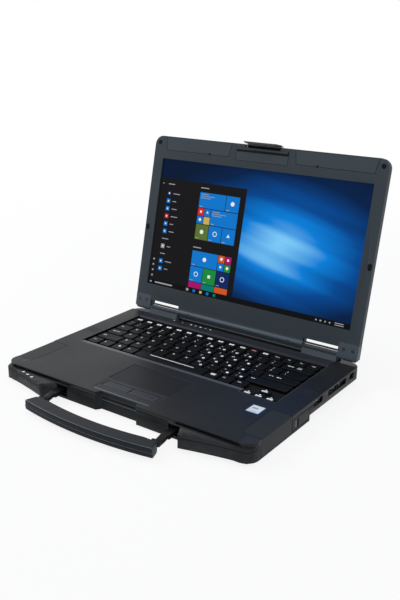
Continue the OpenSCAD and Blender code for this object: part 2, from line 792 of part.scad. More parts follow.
// Sockets at the right side, each a shell with its opening outwards
socket_x = half_w - wall - 1;
socket_d = 14;
port_mid = port_z + port_h/2;
module socket(y, z, w, h) {
    translate([socket_x - socket_d, y, z]) difference() {
        translate([0, -w/2 - 0.8, -h/2 - 0.8]) cube([socket_d, w + 1.6, h + 1.6]);
        translate([1.5, -w/2, -h/2]) cube([socket_d, w, h]);
    }
}
usb_y = [port_a[0] + 9, port_a[0] + 25];
video_y = port_a[0] + 38;
audio_y = port_b[0] + 3.6;
card_y = port_b[0] + 14;
card_z = port_z + 1.8;
module right_sockets() {
    color([0.45, 0.46, 0.48]) {
        for (y = usb_y) socket(y, port_mid, usb_w, usb_h);
        socket(video_y, port_mid, 10, 4.4);
        socket(card_y, card_z, 11.5, 2.2);
        translate([socket_x - socket_d, audio_y, port_mid]) difference() {
            translate([0, -3.2, -3.2]) cube([socket_d, 6.4, 6.4]);
            translate([1.5, 0, 0]) rod(0, socket_d, audio_r);
        }
        // blocks that carry the sockets on the board
        block([socket_x - socket_d, port_a[0] + 2, board_z + board_t],
            [board_x[1], port_a[1] - 2, port_mid - usb_h/2 - 0.8]);
        block([socket_x - socket_d, audio_y - 3.2, board_z + board_t], [board_x[1], card_y + 6.5, port_z]);
    }
}
power_socket_y = (port_c[0] + port_c[1])/2;
module power_socket() {
    color([0.12, 0.12, 0.13]) difference() {
        union() {
            block([socket_x - socket_d, power_socket_y - 4.6, port_mid - 3.7],
                [socket_x, power_socket_y + 4.6, port_mid + 3.7]);
            block([socket_x - socket_d, power_socket_y - 4.6, board_z + board_t],
                [board_x[1], power_socket_y + 4.6, port_mid]);
        }
        translate([1.5, power_socket_y, port_mid]) rod(socket_x - socket_d, socket_x, power_r);
    }
}

// Carrying handle
function bow(t, flat, rise) = rise*(1 - pow(min(1, abs(t)/flat), 2));
grip_z = 3;
grip_back = front_y - handle_travel - 1;
grip_half = grip_w/2;
grip_flare = 5;
// Cross-section of the grip at station t from -1 to 1, eight points; the back is flat where the arms meet it
function grip_ring(t) = let (
    back = grip_back - bow(t, 0.8, grip_bow*0.7),
    front = grip_back - grip_d - bow(t, 1, grip_bow),
    c = 1.6,
    z0 = grip_z,
    z1 = grip_z + grip_h,
    w = grip_half,
    f = grip_flare)
    [[t*w, back, z0 + c], [t*w, back, z1 - c], [t*(w + f*0.15), back - c, z1],
     [t*(w + f*0.9), front + c, z1], [t*(w + f), front, z1 - c], [t*(w + f), front, z0 + c],
     [t*(w + f*0.9), front + c, z0], [t*(w + f*0.15), back - c, z0]];
grip_steps = 20;
module handle_grip() {
    rings = [for (i = [0 : grip_steps]) grip_ring(-1 + 2*i/grip_steps)];
    points = [for (r = rings) for (p = r) p];
    sides = [for (i = [0 : grip_steps - 1], j = [0 : 7]) let (k = (j + 1) % 8)
        [8*i + j, 8*i + k, 8*i + 8 + k, 8*i + 8 + j]];
    ends = [[7, 6, 5, 4, 3, 2, 1, 0], [for (j = [0 : 7]) 8*grip_steps + j]];
    color([0.19, 0.2, 0.22]) polyhedron(points, concat(sides, ends));
}

arm_len = handle_travel + 14;
module handle_arms() {
    color([0.07, 0.07, 0.08]) both()
        block([arm_gap/2 - arm_w/2, grip_back, arm_z - arm_h/2],
            [arm_gap/2 + arm_w/2, grip_back + arm_len, arm_z + arm_h/2]);
}

// Channels that guide the arms inside the case
module handle_guides() {
    color([0.35, 0.36, 0.38]) both() difference() {
        block([arm_gap/2 - arm_w/2 - 2, front_y + wall + 1, floor_z],
            [arm_gap/2 + arm_w/2 + 2, front_y + wall + 1 + arm_len + 6, arm_z + arm_h/2 + gap + 1.5]);
        block([arm_gap/2 - arm_w/2 - gap, front_y, arm_z - arm_h/2 - gap],
            [arm_gap/2 + arm_w/2 + gap, front_y + wall + arm_len + 5, arm_z + arm_h/2 + gap]);
    }
}

// Feet and screws under the case
foot_places = [for (sx = [-1, 1], y = [front_y + 24, rear_y - 18]) [sx*(half_w - 22.5), y]];
module rubber_feet() {
    color([0.06, 0.06, 0.06]) for (p = foot_places)
        translate([p[0], p[1], 0]) linear_extrude(foot_h) rounded(24, 10, 4);
}
screw_r = 1.6;
screw_head_r = 3;
screw_head_h = 0.8;
screw_places = [[-60, front_y + 60], [60, front_y + 60], [-35, rear_y - 8], [35, rear_y - 8],
    [-105, front_y + 70], [105, front_y + 70]];
module case_screws() {
    color([0.3, 0.3, 0.32]) for (p = screw_places) translate([p[0], p[1], foot_h + 0.1]) difference() {
        union() {
            cylinder(r=screw_head_r, h=screw_head_h);
            cylinder(r=screw_r, h=floor_t + 3);
        }
        translate([0, 0, -eps]) cylinder(r=1.1, h=0.5, $fn=6);
    }
}

// Lid, drawn upright with the hinge axis along X through the origin:
// the frame's face looks towards -Y
module lid_outline() {
    difference() {
        union() {
            translate([-lid_w/2, cap_top]) square([lid_w, lid_top - lid_corner_r - cap_top]);
            translate([-lid_w/2 + lid_corner_r, lid_top - lid_corner_r - 1])
                square([lid_w - 2*lid_corner_r, lid_corner_r + 1]);
            for (s = [-1, 1]) translate([s*(lid_w/2 - lid_corner_r), lid_top - lid_corner_r])
                circle(lid_corner_r);
            translate([-cap_in, slot_top]) square([2*cap_in, cap_top]);
            translate([-barrel_end, barrel_top]) square([2*barrel_end, cap_top]);
        }
        translate([-latch_w/2 - 2, lid_top - 4]) square([latch_w + 4, 10]);
    }
}

module lid_cover() {
    color([0.2, 0.22, 0.24]) on_lid() difference() {
        lid_plate(-lid_front + bezel_t, lid_back) lid_outline();
        // pocket for the panel and the boards
        block([-lid_w/2 + pocket_in, -lid_front, slot_top + 2.6],
            [lid_w/2 - pocket_in, lid_back - 1.5, cap_top + 3]);
        block([-lid_w/2 + pocket_in, -lid_front, cap_top + 2],
            [lid_w/2 - pocket_in, lid_back - 1.5, lid_top - 7]);
        // corners beside the pocket's lower part stay solid
        both() block([arm_x - gap, -arm_t/2 - gap, cap_top - 1],
            [arm_x + arm_len_x + gap, lid_back - 1.5, cap_top + 3]);
    }
}

module screen_frame() {
    color([0.27, 0.31, 0.34]) on_lid() difference() {
        lid_plate(-lid_front, -lid_front + bezel_t) lid_outline();
        block([-screen_w/2, -lid_front - 1, low_bezel], [screen_w/2, 0, low_bezel + screen_h]);
        // seats of the antenna covers and the camera cover
        antenna_seat(antenna_l, 0);
        antenna_seat(antenna_r, 0);
        camera_seat(0);
        bumper_seats(0);
    }
}

module antenna_seat(x, less) {
    slant = 3;
    z0 = lid_top - 1.2 - antenna_h + less;
    z1 = lid_top - 1.2 - less;
    translate([0, -lid_front + 0.9, 0]) rotate([90, 0, 0]) linear_extrude(less > 0 ? 0.9 : 3)
        polygon([[x[0] + slant + less, z0], [x[1] - slant - less, z0], [x[1] - less, z1], [x[0] + less, z1]]);
}
module antenna_covers() {
    color([0.28, 0.32, 0.35]) on_lid() {
        antenna_seat(antenna_l, 0.15);
        antenna_seat(antenna_r, 0.15);
    }
}
module antenna_boards() {
    color([0.6, 0.5, 0.25]) on_lid() for (x = [antenna_l, antenna_r])
        block([x[0] + 8, -lid_front + bezel_t, lid_top - 20],
            [x[1] - 8, -lid_front + bezel_t + 1, lid_top - 9]);
}

// Camera cover, with the rubber strip above it that the latch closes on
seal_z = lid_top - 9.6;
seal_h = 2.6;
module camera_seat(less) {
    difference() {
        block([-camera_w/2 + less, -lid_front - (less > 0 ? 0 : 1), lid_top - 2 - camera_h + less],
            [camera_w/2 - less, -lid_front + 0.9, lid_top - 4.5 - less]);
        if (less > 0) block([-camera_w, -big, seal_z - less], [camera_w, big, seal_z + seal_h + less]);
    }
}
module camera_cover() {
    color([0.26, 0.3, 0.33]) on_lid() camera_seat(0.15);
}
module latch_seal() {
    color([0.04, 0.04, 0.04]) on_lid()
        block([-camera_w/2 + 0.1, -lid_front - 0.5, seal_z],
            [camera_w/2 - 0.1, -lid_front + 0.9, seal_z + seal_h]);
}

module display_panel() {
    color([0.05, 0.2, 0.5]) on_lid()
        block([-screen_w/2 - 4, -lid_front + bezel_t, low_bezel - 5],
            [screen_w/2 + 4, -lid_front + bezel_t + panel_t, low_bezel + screen_h + 4]);
}

// Corner caps of the lid around the hinge arms
arm_t = 2.4;
arm_len_x = 6;
arm_x = cap_in + 5;
hub_r = shaft_r + 1.2;
cap_r = lid_back;
module lid_hinge_caps() {
    color([0.3, 0.35, 0.39]) on_lid() both() difference() {
        union() {
            for (y = [-lid_front - 0.3 + cap_r, 0]) translate([0, y, 0]) rod(cap_in, lid_w/2 - 3, cap_r);
            block([cap_in, -lid_front - 0.3 + cap_r, -cap_r], [lid_w/2 - 3, 0, 0]);
            block([cap_in, -lid_front - 0.3, 0], [lid_w/2, lid_back, cap_top]);
            block([lid_w/2 - 3.5, -lid_front + 0.8, -cap_r + 2], [lid_w/2 - 1, lid_back - 1, 0]);
        }
        rod(arm_x - gap, cap_in + 13 + gap, hub_r + gap);
        rod(cap_in - 1, arm_x, shaft_r + gap);
        block([arm_x - gap, -arm_t/2 - gap, 0], [arm_x + arm_len_x + gap, arm_t/2 + gap, cap_top + 1]);
        // seats of the two cap screws
        for (x = cap_screw_x)
            translate([x, -lid_front - 1, cap_screw_z]) rotate([-90, 0, 0]) cylinder(r=2.3, h=2);
    }
}
cap_screw_x = [cap_in + 7, cap_in + 19];
cap_screw_z = 9.4;

// Arms that join the lid to the shafts
module hinge_arms() {
    color([0.6, 0.61, 0.63]) on_lid() both() difference() {
        union() {
            rod(arm_x, arm_x + arm_len_x, hub_r);
            block([arm_x, -arm_t/2, 0], [arm_x + arm_len_x, arm_t/2, cap_top + 2]);
            block([arm_x, -arm_t/2, cap_top + 2], [arm_x + arm_len_x, lid_back - 1.5, cap_top + 3.2]);
            block([arm_x, lid_back - 2.9, cap_top + 3.2], [arm_x + 14, lid_back - 1.5, 60]);
        }
        rod(arm_x - 1, arm_x + arm_len_x + 1, shaft_r + fit);
    }
}

// Round cover between the hinges
barrel_screw_x = 77;
module lid_barrel() {
    color([0.2, 0.22, 0.24]) on_lid() difference() {
        translate([-barrel_end, 0, 0]) rotate([90, 0, 90]) linear_extrude(2*barrel_end) {
            circle(cap_r);
            translate([-1.5, 3.2]) circle(4.3);
            translate([-lid_front, 2]) square([lid_t, barrel_top - 2]);
        }
        both() translate([barrel_screw_x, -8, 2.2]) rotate([-90, 0, 0]) cylinder(r=2.3, h=4);
    }
}

// Rubber stops that meet the palm rest
bumper_places = [for (sx = [-1, 1], p = [[7.5, lid_top - 8.8], [4, lid_top*0.47]])
    [sx*(lid_w/2 - p[0]), p[1]]];
module bumper_seats(less) {
    for (p = bumper_places) translate([p[0], -lid_front - (less > 0 ? 0.7 : 2), p[1]]) rotate([-90, 0, 0])
        cylinder(r=2.6 - less, h=(less > 0 ? 0.7 : 2) + 0.9);
}
module lid_bumpers() { color([0.04, 0.04, 0.04]) on_lid() bumper_seats(0.1); }

module lid_screws() {
    color([0.12, 0.12, 0.13]) on_lid() both() {
        for (x = cap_screw_x)
            translate([x, -lid_front, cap_screw_z]) rotate([-90, 0, 0]) cylinder(r=2.2, h=1);
        translate([barrel_screw_x, -5.2, 2.2]) rotate([-90, 0, 0]) cylinder(r=2.2, h=1.2);
    }
}

// Latch that hooks the lid to the case
pin_r = 1;
latch_r = 2.4;
latch_z = lid_top + 0.8;
plate_z = latch_z + 0.9;
lip_low = lid_top + 0.7;
hook_y = -lid_front - latch_reach + lid_gap;
module lid_latch() {
    color([0.06, 0.06, 0.07]) on_lid() difference() {
        union() {
            translate([0, 0, latch_z]) rod(-latch_w/2, latch_w/2, latch_r);
            block([-latch_w/2, hook_y, plate_z], [latch_w/2, 0, latch_z + latch_r]);
            block([-latch_w/2 + 2, hook_y, lip_low], [latch_w/2 - 2, hook_y + lip_t, latch_z + latch_r]);
        }
        translate([0, 0, latch_z]) rod(-latch_w, latch_w, pin_r + fit);
    }
}
module latch_pin() {
    color([0.6, 0.6, 0.62]) on_lid() {
        translate([0, 0, latch_z]) rod(-latch_w/2 - 2, latch_w/2 + 2, pin_r);
        both() block([latch_w/2 + gap, -1.6, lid_top - 4], [latch_w/2 + 2, 1.6, latch_z + 1.6]);
    }
}

bottom_case();
top_case();
corner_caps();
indicator_strip();
hinge_covers();
hinge_brackets();
hinge_shafts();
keyboard_tray();
function_keys();
number_keys();
upper_letter_keys();
home_letter_keys();
lower_letter_keys();
modifier_keys();
space_bar();
enter_key();
backspace_key();
arrow_keys();
power_button();
touchpad();
button_frame();
left_click_button();
right_click_button();
speaker_grilles();
speakers();
motherboard();
processor_plate();
heat_pipe();
heatsink_fins();
fan_housing();
fan_rotor();
memory_modules();
wireless_card();
drive_caddy();
drive_door();
drive_latch();
battery_pack();
battery_door();
battery_latch();
right_sockets();
power_socket();
handle_grip();
handle_arms();
handle_guides();
rubber_feet();
case_screws();
lid_cover();
screen_frame();
display_panel();
camera_cover();
latch_seal();
antenna_covers();
antenna_boards();
lid_hinge_caps();
lid_barrel();
hinge_arms();
lid_bumpers();
lid_screws();
lid_latch();
latch_pin();
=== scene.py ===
"""Rugged laptop computer, screen open and carrying handle pulled out: its looks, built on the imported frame.

Sizes are in millimetres and turned into metres by mm(). X runs to the right, Y to the back, Z up.
Pieces of the lid are modelled upright about the hinge axis and then leaned back with the lid.
"""
import json
from math import cos, pi, radians, sin

import bmesh
import bpy
from mathutils import Matrix, Vector

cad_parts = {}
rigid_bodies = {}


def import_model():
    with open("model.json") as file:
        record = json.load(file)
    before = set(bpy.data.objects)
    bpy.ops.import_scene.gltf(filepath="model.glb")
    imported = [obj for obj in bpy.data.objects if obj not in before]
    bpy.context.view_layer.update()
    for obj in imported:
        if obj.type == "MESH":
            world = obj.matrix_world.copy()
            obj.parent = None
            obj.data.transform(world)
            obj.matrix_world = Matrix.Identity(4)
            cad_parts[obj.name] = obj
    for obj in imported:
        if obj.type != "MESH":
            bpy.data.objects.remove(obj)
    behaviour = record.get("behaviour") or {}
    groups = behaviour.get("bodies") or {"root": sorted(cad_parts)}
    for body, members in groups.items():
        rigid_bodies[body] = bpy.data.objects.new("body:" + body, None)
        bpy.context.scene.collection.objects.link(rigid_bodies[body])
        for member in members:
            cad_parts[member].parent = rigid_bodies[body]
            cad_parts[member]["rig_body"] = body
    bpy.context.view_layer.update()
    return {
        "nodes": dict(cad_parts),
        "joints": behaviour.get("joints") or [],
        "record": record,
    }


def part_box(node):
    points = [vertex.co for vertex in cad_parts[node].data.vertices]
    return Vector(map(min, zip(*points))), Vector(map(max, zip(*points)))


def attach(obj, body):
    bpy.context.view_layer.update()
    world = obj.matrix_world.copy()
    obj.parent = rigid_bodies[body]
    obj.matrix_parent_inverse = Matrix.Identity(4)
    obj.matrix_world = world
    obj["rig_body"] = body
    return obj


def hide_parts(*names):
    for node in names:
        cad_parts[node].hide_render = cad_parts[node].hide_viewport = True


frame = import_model()


def mm(*values):
    """Millimetres as metres: one number, or a vector of three."""
    scaled = [v * 0.001 for v in values]
    return scaled[0] if len(scaled) == 1 else Vector(scaled)


def low(node):
    """A node's lowest corner in millimetres."""
    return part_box(node)[0] * 1000


def high(node):
    """A node's highest corner in millimetres."""
    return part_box(node)[1] * 1000


# ---------- places taken from the frame
lid_joint = next(j for j in frame["joints"] if j["name"] == "lid_hinge")
axis_y, axis_z = [v * 1000 for v in lid_joint["pos_m"][1:]]
lean = radians(12.3)
LID = Matrix.Translation(mm(0, axis_y, axis_z)) @ Matrix.Rotation(-lean, 4, "X")
deck = high("top_case").z
front = low("top_case").y
side = high("top_case").x
lid_face = -4.5
lid_back = 3.8
lid_half = 170
lid_top = 237.4
screen_low, screen_high, screen_half = 33.4, 207.4, 154.7


# ---------- modelling helpers
def deselect():
    """Leaves edit mode and selects nothing."""
    if bpy.context.object and bpy.context.object.mode != "OBJECT":
        bpy.ops.object.mode_set(mode="OBJECT")
    bpy.ops.object.select_all(action="DESELECT")


def activate(obj):
    """Makes obj the only selected object."""
    deselect()
    obj.select_set(True)
    bpy.context.view_layer.objects.active = obj
    return obj


def name_new(name):
    """Names the object that an operator has just added."""
    obj = bpy.context.object
    obj.name = name
    obj.data.name = name
    return obj


def settle(obj):
    """Moves an object's place, turn and size into its mesh."""
    activate(obj)
    bpy.ops.object.transform_apply(location=True, rotation=True, scale=True)
    return obj


def add_object(name, data):
    """Puts an object with the given data into the scene."""
    obj = bpy.data.objects.new(name, data)
    bpy.context.scene.collection.objects.link(obj)
    return obj


def block(name, lo, hi):
    """A box between two corners given in millimetres, ready to be shaped."""
    deselect()
    lo, hi = Vector(lo), Vector(hi)
    bpy.ops.mesh.primitive_cube_add(size=1, location=mm(*((lo + hi) / 2)), scale=mm(*(hi - lo)))
    return settle(name_new(name))


def block_pair(name, lo, hi):
    """A box on the right and its mirror image on the left."""
    return [block(name, lo, hi), block(name, (-hi[0], *lo[1:]), (-lo[0], *hi[1:]))]


def disc(name, radius, depth, place, turn=(0, 0, 0), sides=24):
    """A short cylinder centred on a place, its axis turned from Z."""
    deselect()
    bpy.ops.mesh.primitive_cylinder_add(vertices=sides, radius=mm(radius), depth=mm(depth),
                                        location=mm(*place), rotation=turn)
    return settle(name_new(name))


def edit(obj, mode="FACE"):
    """Opens obj in edit mode with nothing selected."""
    activate(obj)
    bpy.ops.object.mode_set(mode="EDIT")
    bpy.ops.mesh.select_mode(type=mode)
    bpy.ops.mesh.select_all(action="DESELECT")
    return obj


def done():
    """Back to object mode."""
    bpy.ops.object.mode_set(mode="OBJECT")


def pick_faces(test):
    """Selects the faces of the object in edit mode whose centre (mm) and normal pass the test."""
    shape = bmesh.from_edit_mesh(bpy.context.object.data)
    for face in shape.faces:
        face.select_set(bool(test(face.calc_center_median() * 1000, face.normal)))
    bmesh.update_edit_mesh(bpy.context.object.data)


def pick_edges(test):
    """Selects the edges whose two ends (mm) pass the test."""
    shape = bmesh.from_edit_mesh(bpy.context.object.data)
    for edge in shape.edges:
        edge.select_set(bool(test(edge.verts[0].co * 1000, edge.verts[1].co * 1000)))
    bmesh.update_edit_mesh(bpy.context.object.data)


def add_modifier(obj, kind, **settings):
    """Adds a modifier and applies it at once."""
    activate(obj)
    modifier = obj.modifiers.new(kind.lower(), kind)
    for key, value in settings.items():
        setattr(modifier, key, value)
    bpy.ops.object.modifier_apply(modifier=modifier.name)
    return obj


def soften(obj, width, segments=3, angle=30):
    """Rounds the sharp edges and shades the surface smooth up to them."""
    add_modifier(obj, "BEVEL", width=mm(width), segments=segments, limit_method="ANGLE",
                 angle_limit=radians(angle), miter_outer="MITER_ARC", harden_normals=False)
    return even_shading(obj)


def even_shading(obj):
    """Shades smooth up to the sharp edges, the large faces leading."""
    activate(obj)
    bpy.ops.object.shade_smooth_by_angle(angle=radians(40))
    return add_modifier(obj, "WEIGHTED_NORMAL", keep_sharp=True)


def join(name, parts):
    """Joins several meshes into one piece."""
    deselect()
    for part in parts:
        part.select_set(True)
    bpy.context.view_layer.objects.active = parts[0]
    if len(parts) > 1:
        bpy.ops.object.join()
    parts[0].name = name
    parts[0].data.name = name
    return parts[0]


def copy_of(obj, name, shift=(0, 0, 0)):
    """A copy with its own mesh, moved by millimetres."""
    twin = obj.copy()
    twin.data = obj.data.copy()
    bpy.context.scene.collection.objects.link(twin)
    twin.name = name
    twin.data.transform(Matrix.Translation(mm(*shift)))
    return twin


def lean_back(obj):
    """Takes an upright lid piece to where the open lid is."""
    obj.data.transform(LID)
    return obj


def finish_piece(obj, material, body, slot, *nodes):
    """Gives a piece its material and its body, and hides the nodes that it stands for. The slot is not used.
    """
    obj.data.materials.clear()
    obj.data.materials.append(material)
    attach(obj, body)
    if nodes:
        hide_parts(*nodes)
    return obj


def upright_edges(a, b):
    """True for an edge that runs up and down."""
    return abs(a.x - b.x) < 0.01 and abs(a.y - b.y) < 0.01


def plate(name, middle, width, depth, thick, corner=0.5):
    """A flat plate with round corners, lying around its middle (mm)."""
    half = Vector((width / 2, depth / 2, thick / 2))
    piece = block(name, Vector(middle) - half, Vector(middle) + half)
    edit(piece, "EDGE")
    pick_edges(upright_edges)
    bpy.ops.mesh.bevel(offset=mm(corner), segments=4, affect="EDGES")
    done()
    return piece


def lettering(name, words, middle, size, thick=0.06):
    """Raised letters as a mesh, centred on a place (mm) and read from the front."""
    deselect()
    bpy.ops.object.text_add(location=(0, 0, 0))
    text = name_new(name)
    text.data.body = words
    text.data.size = mm(size)
    text.data.extrude = mm(thick / 2)
    text.data.resolution_u = 3
    text.data.align_x = "CENTER"
    text.data.align_y = "CENTER"
    bpy.ops.object.convert(target="MESH")
    text.data.transform(Matrix.Translation(mm(*middle)))
    return text


def rod_along(name, points, radius, closed=False):
    """A thin round trim or groove filler that follows points (mm)."""
    curve = bpy.data.curves.new(name, "CURVE")
    curve.dimensions = "3D"
    curve.bevel_depth = mm(radius)
    curve.bevel_resolution = 1
    curve.use_fill_caps = True
    spline = curve.splines.new("POLY")
    spline.points.add(len(points) - 1)
    for spot, point in zip(spline.points, points):
        spot.co = (*mm(*point), 1)
    spline.use_cyclic_u = closed
    activate(add_object(name, curve))
    bpy.ops.object.convert(target="MESH")
    return bpy.context.object


def rods(name, paths, radius, closed=False):
    """Round trims of one thickness, joined."""
    return join(name, [rod_along(name, path, radius, closed) for path in paths])


def round_loop(middle, width, depth, corner):
    """Points (mm) of a rectangle with round corners, lying flat around its middle."""
    points, steps = [], 4
    for quarter, (sx, sy) in enumerate(((1, 1), (-1, 1), (-1, -1), (1, -1))):
        for i in range(steps + 1):
            turn = pi / 2 * (quarter + i / steps)
            points.append((middle[0] + sx * (width / 2 - corner) + corner * cos(turn),
                           middle[1] + sy * (depth / 2 - corner) + corner * sin(turn), middle[2]))
    return points


def solid_boxes(node):
    """Boxes (mm) of the separate solids of a CAD node, from left to right."""
    shape = bmesh.new()
    shape.from_mesh(frame["nodes"][node].data)
    bmesh.ops.remove_doubles(shape, verts=shape.verts, dist=1e-6)
    waiting = set(shape.verts)
    boxes = []
    while waiting:
        reached = [waiting.pop()]
        for vertex in reached:
            touching = {edge.other_vert(vertex) for edge in vertex.link_edges} & waiting
            waiting -= touching
            reached += touching
        corners = [vertex.co * 1000 for vertex in reached]
        boxes.append([Vector([limit(c[i] for c in corners) for i in range(3)]) for limit in (min, max)])
    shape.free()
    return sorted(boxes, key=lambda box: (box[0].x, box[0].y))


# ---------- material helpers
def shaded(color, share):
    """A colour made darker or lighter by a share."""
    return [c * share for c in color]


def combine(tree, operation, one, other):
    """Two outputs put together by a kind of sum."""
    node = tree.nodes.new("ShaderNodeMath")
    node.operation = operation
    tree.links.new(one, node.inputs[0])
    tree.links.new(other, node.inputs[1])
    return node.outputs["Value"]


class Look:
    """A new material, and the few ways in which its nodes are added and fed."""

    def __init__(self, name):
        self.material = bpy.data.materials.new(name)
        self.material.use_nodes = True
        self.tree = self.material.node_tree
        self.main = self.tree.nodes["Principled BSDF"]
        self.place = self.add("TexCoord").outputs["Object"]

    def feed(self, node, **inputs):
        """Sets or links inputs by name, with _ for a space."""
        for key, value in inputs.items():
            socket = node.inputs[key.replace("_", " ")]
            if isinstance(value, bpy.types.NodeSocket):
                self.tree.links.new(value, socket)
            else:
                socket.default_value = value
        return self.material

    def add(self, kind, **inputs):
        node = self.tree.nodes.new("ShaderNode" + kind)
        self.feed(node, **inputs)
        return node

    def noise(self, **inputs):
        """Noise on the piece's own coordinates, unless others are given."""
        return self.add("TexNoise", **{"Vector": self.place, **inputs}).outputs["Fac"]

    def mapped(self, vector, kind="POINT", **inputs):
        """Coordinates that are moved, turned and scaled."""
        node = self.add("Mapping", Vector=vector, **inputs)
        node.vector_type = kind
        return node.outputs["Vector"]

    def halo(self, vector):
        """1 at the origin, falling to 0 at a distance of 1."""
        node = self.add("TexGradient", Vector=vector)
        node.gradient_type = "SPHERICAL"
        return node.outputs["Fac"]

    def spread(self, value, low_value, high_value, to_low, to_high):
        """Takes one range of values to another."""
        return self.add("MapRange", Value=value, From_Min=low_value, From_Max=high_value,
                        To_Min=to_low, To_Max=to_high).outputs["Result"]

    def ramp(self, value, *stops):
        """A blend of colours, each stop a position and a colour."""
        node = self.add("ValToRGB", Fac=value)
        for position, color in stops[1:-1]:
            node.color_ramp.elements.new(position)
        for element, (position, color) in zip(node.color_ramp.elements, stops):
            element.position = position
            element.color = (*color, 1)
        return node.outputs["Color"]

    def relief(self, height, strength, distance):
        """Fine bumps."""
        return self.add("Bump", Height=height, Strength=strength, Distance=distance).outputs["Normal"]


def moulded(name, color, rough, specular, grain=900, bump=0.12):
    """Moulded plastic: a fine grain, slow drifts of tone and gloss, and a painted highlight that makes the
    sharp edges lighter.
    """
    look = Look(name)
    fine = look.noise(Scale=grain, Detail=3, Roughness=0.6)
    slow = look.noise(Scale=14, Detail=4, Roughness=0.55)
    # Painted highlight: sharp convex edges are mixed towards a colour 2.2 times lighter than the plastic.
    edge_highlight = look.add("Mix")
    edge_highlight.data_type = "RGBA"
    edges = look.add("NewGeometry").outputs["Pointiness"]
    look.feed(edge_highlight, Factor=look.spread(edges, 0.52, 0.58, 0, 0.35))
    plain_input, edge_highlight_input = edge_highlight.inputs[6], edge_highlight.inputs[7]
    look.tree.links.new(look.ramp(slow, (0.3, shaded(color, 0.88)), (0.7, shaded(color, 1.12))), plain_input)
    edge_highlight_input.default_value = (*[min(1, c * 2.2 + 0.01) for c in color], 1)
    return look.feed(look.main, Base_Color=edge_highlight.outputs[2], Specular_IOR_Level=specular,
                     Roughness=look.spread(slow, 0.3, 0.7, rough - 0.06, rough + 0.06),
                     Normal=look.relief(fine, bump, 0.0002))


def metal(name, color):
    """Bare metal with fine brush lines."""
    look = Look(name)
    brushed = look.mapped(look.place, Scale=(30, 1200, 30))
    lines = look.noise(Vector=brushed, Scale=8, Detail=5, Roughness=0.7)
    return look.feed(look.main, Metallic=1,
                     Base_Color=look.ramp(lines, (0, shaded(color, 0.85)), (1, color)),
                     Roughness=look.spread(lines, 0.3, 0.7, 0.25, 0.45),
                     Normal=look.relief(lines, 0.08, 0.0001))


def printed(name, color, rough=0.5, glow=0, specular=0.3):
    """A printed or painted mark with a faint ink mottle; a glow above 0 adds painted light that the mark
    itself doesn't give.
    """
    look = Look(name)
    ink = look.noise(Scale=2500, Detail=2)
    # Painted light: emission on a mark that is no lamp.
    if glow:
        look.feed(look.main, Emission_Color=(*color, 1), Emission_Strength=glow)
    return look.feed(look.main, Base_Color=look.ramp(ink, (0, shaded(color, 0.88)), (1, color)),
                     Roughness=rough, Specular_IOR_Level=specular)


def shining(look, light, dark):
    """A dark glossy face that gives its own light."""
    return look.feed(look.main, Emission_Color=light, Emission_Strength=1, Base_Color=dark,
                     Roughness=0.3, Specular_IOR_Level=0.03)


def lit(name, color):
    """A lit field of the screen, with a faint pixel grain in its light."""
    look = Look(name)
    grain = look.noise(Scale=3000, Detail=1)
    return shining(look, look.ramp(grain, (0, shaded(color, 0.94)), (1, color)), (0.002, 0.002, 0.0025, 1))


shell_black = moulded("charcoal_shell", (0.0105, 0.0122, 0.0142), 0.46, 0.15)
palm_grey = moulded("palm_rest_paint", (0.0088, 0.0098, 0.0122), 0.40, 0.16, grain=1400, bump=0.07)
frame_grey = moulded("screen_frame_paint", (0.0245, 0.0345, 0.0425), 0.44, 0.22, grain=1300, bump=0.08)
lid_grey = moulded("lid_shell_paint", (0.022, 0.029, 0.036), 0.45, 0.25)
# Steel-blue paint of the hinge covers; on the bay lines and the grip's edge rod it stands for painted
# highlight.
hinge_blue = moulded("hinge_cover_paint", (0.044, 0.060, 0.074), 0.36, 0.3, grain=1500, bump=0.05)
# Satin strip plastic; as the dark bands on the hinge covers it stands for painted shade.
strip_black = moulded("strip_satin", (0.013, 0.015, 0.020), 0.36, 0.12, bump=0.04)
# Lighter satin grey; on the grip rib and the well's shelf it is partly a painted highlight.
rim_grey = moulded("rim_satin", (0.042, 0.050, 0.060), 0.4, 0.3, grain=1500, bump=0.05)
key_black = moulded("key_plastic", (0.0040, 0.0043, 0.0052), 0.40, 0.07, grain=1600, bump=0.06)
tray_black = moulded("tray_plastic", (0.003, 0.003, 0.0035), 0.6, 0.1)
pad_black = moulded("touchpad_film", (0.0080, 0.0092, 0.0115), 0.36, 0.06, grain=2200, bump=0.03)
# Soft black rubber; as the wall behind the latch it stands for painted shade.
rubber_black = moulded("soft_rubber", (0.0028, 0.0028, 0.003), 0.7, 0.1, grain=500, bump=0.15)
grip_black = moulded("grip_plastic", (0.013, 0.0155, 0.019), 0.40, 0.1, grain=700, bump=0.10)
arm_black = moulded("arm_enamel", (0.0035, 0.0036, 0.0042), 0.32, 0.1, grain=1200, bump=0.03)
knob_grey = moulded("knob_plastic", (0.040, 0.045, 0.052), 0.4, 0.3)
board_green = moulded("circuit_board", (0.015, 0.10, 0.045), 0.4, 0.5, grain=300, bump=0.3)
dark_screw = moulded("blackened_screw", (0.006, 0.006, 0.007), 0.35, 0.5, grain=2000, bump=0.04)
gunmetal = moulded("latch_enamel", (0.022, 0.024, 0.028), 0.25, 0.5, grain=1200, bump=0.03)
socket_steel = metal("socket_steel", (0.42, 0.43, 0.45))
mill_aluminium = metal("mill_aluminium", (0.65, 0.66, 0.68))
warm_copper = metal("warm_copper", (0.72, 0.38, 0.24))
# The white and red inks glow a little: painted light on the key legends and case marks.
white_ink = printed("white_ink", (0.82, 0.83, 0.85), glow=0.25)
dark_ink = printed("dark_ink", (0.01, 0.01, 0.012))
grey_ink = printed("grey_ink", (0.36, 0.38, 0.40))
red_ink = printed("red_ink", (0.30, 0.055, 0.032), glow=0.1)
seam_black = printed("seam_shadow", (0.002, 0.002, 0.0025), rough=0.7, specular=0.1)
label_white = printed("label_paper", (0.72, 0.75, 0.78), rough=0.35)
label_blue = printed("label_border", (0.02, 0.10, 0.26), rough=0.35)


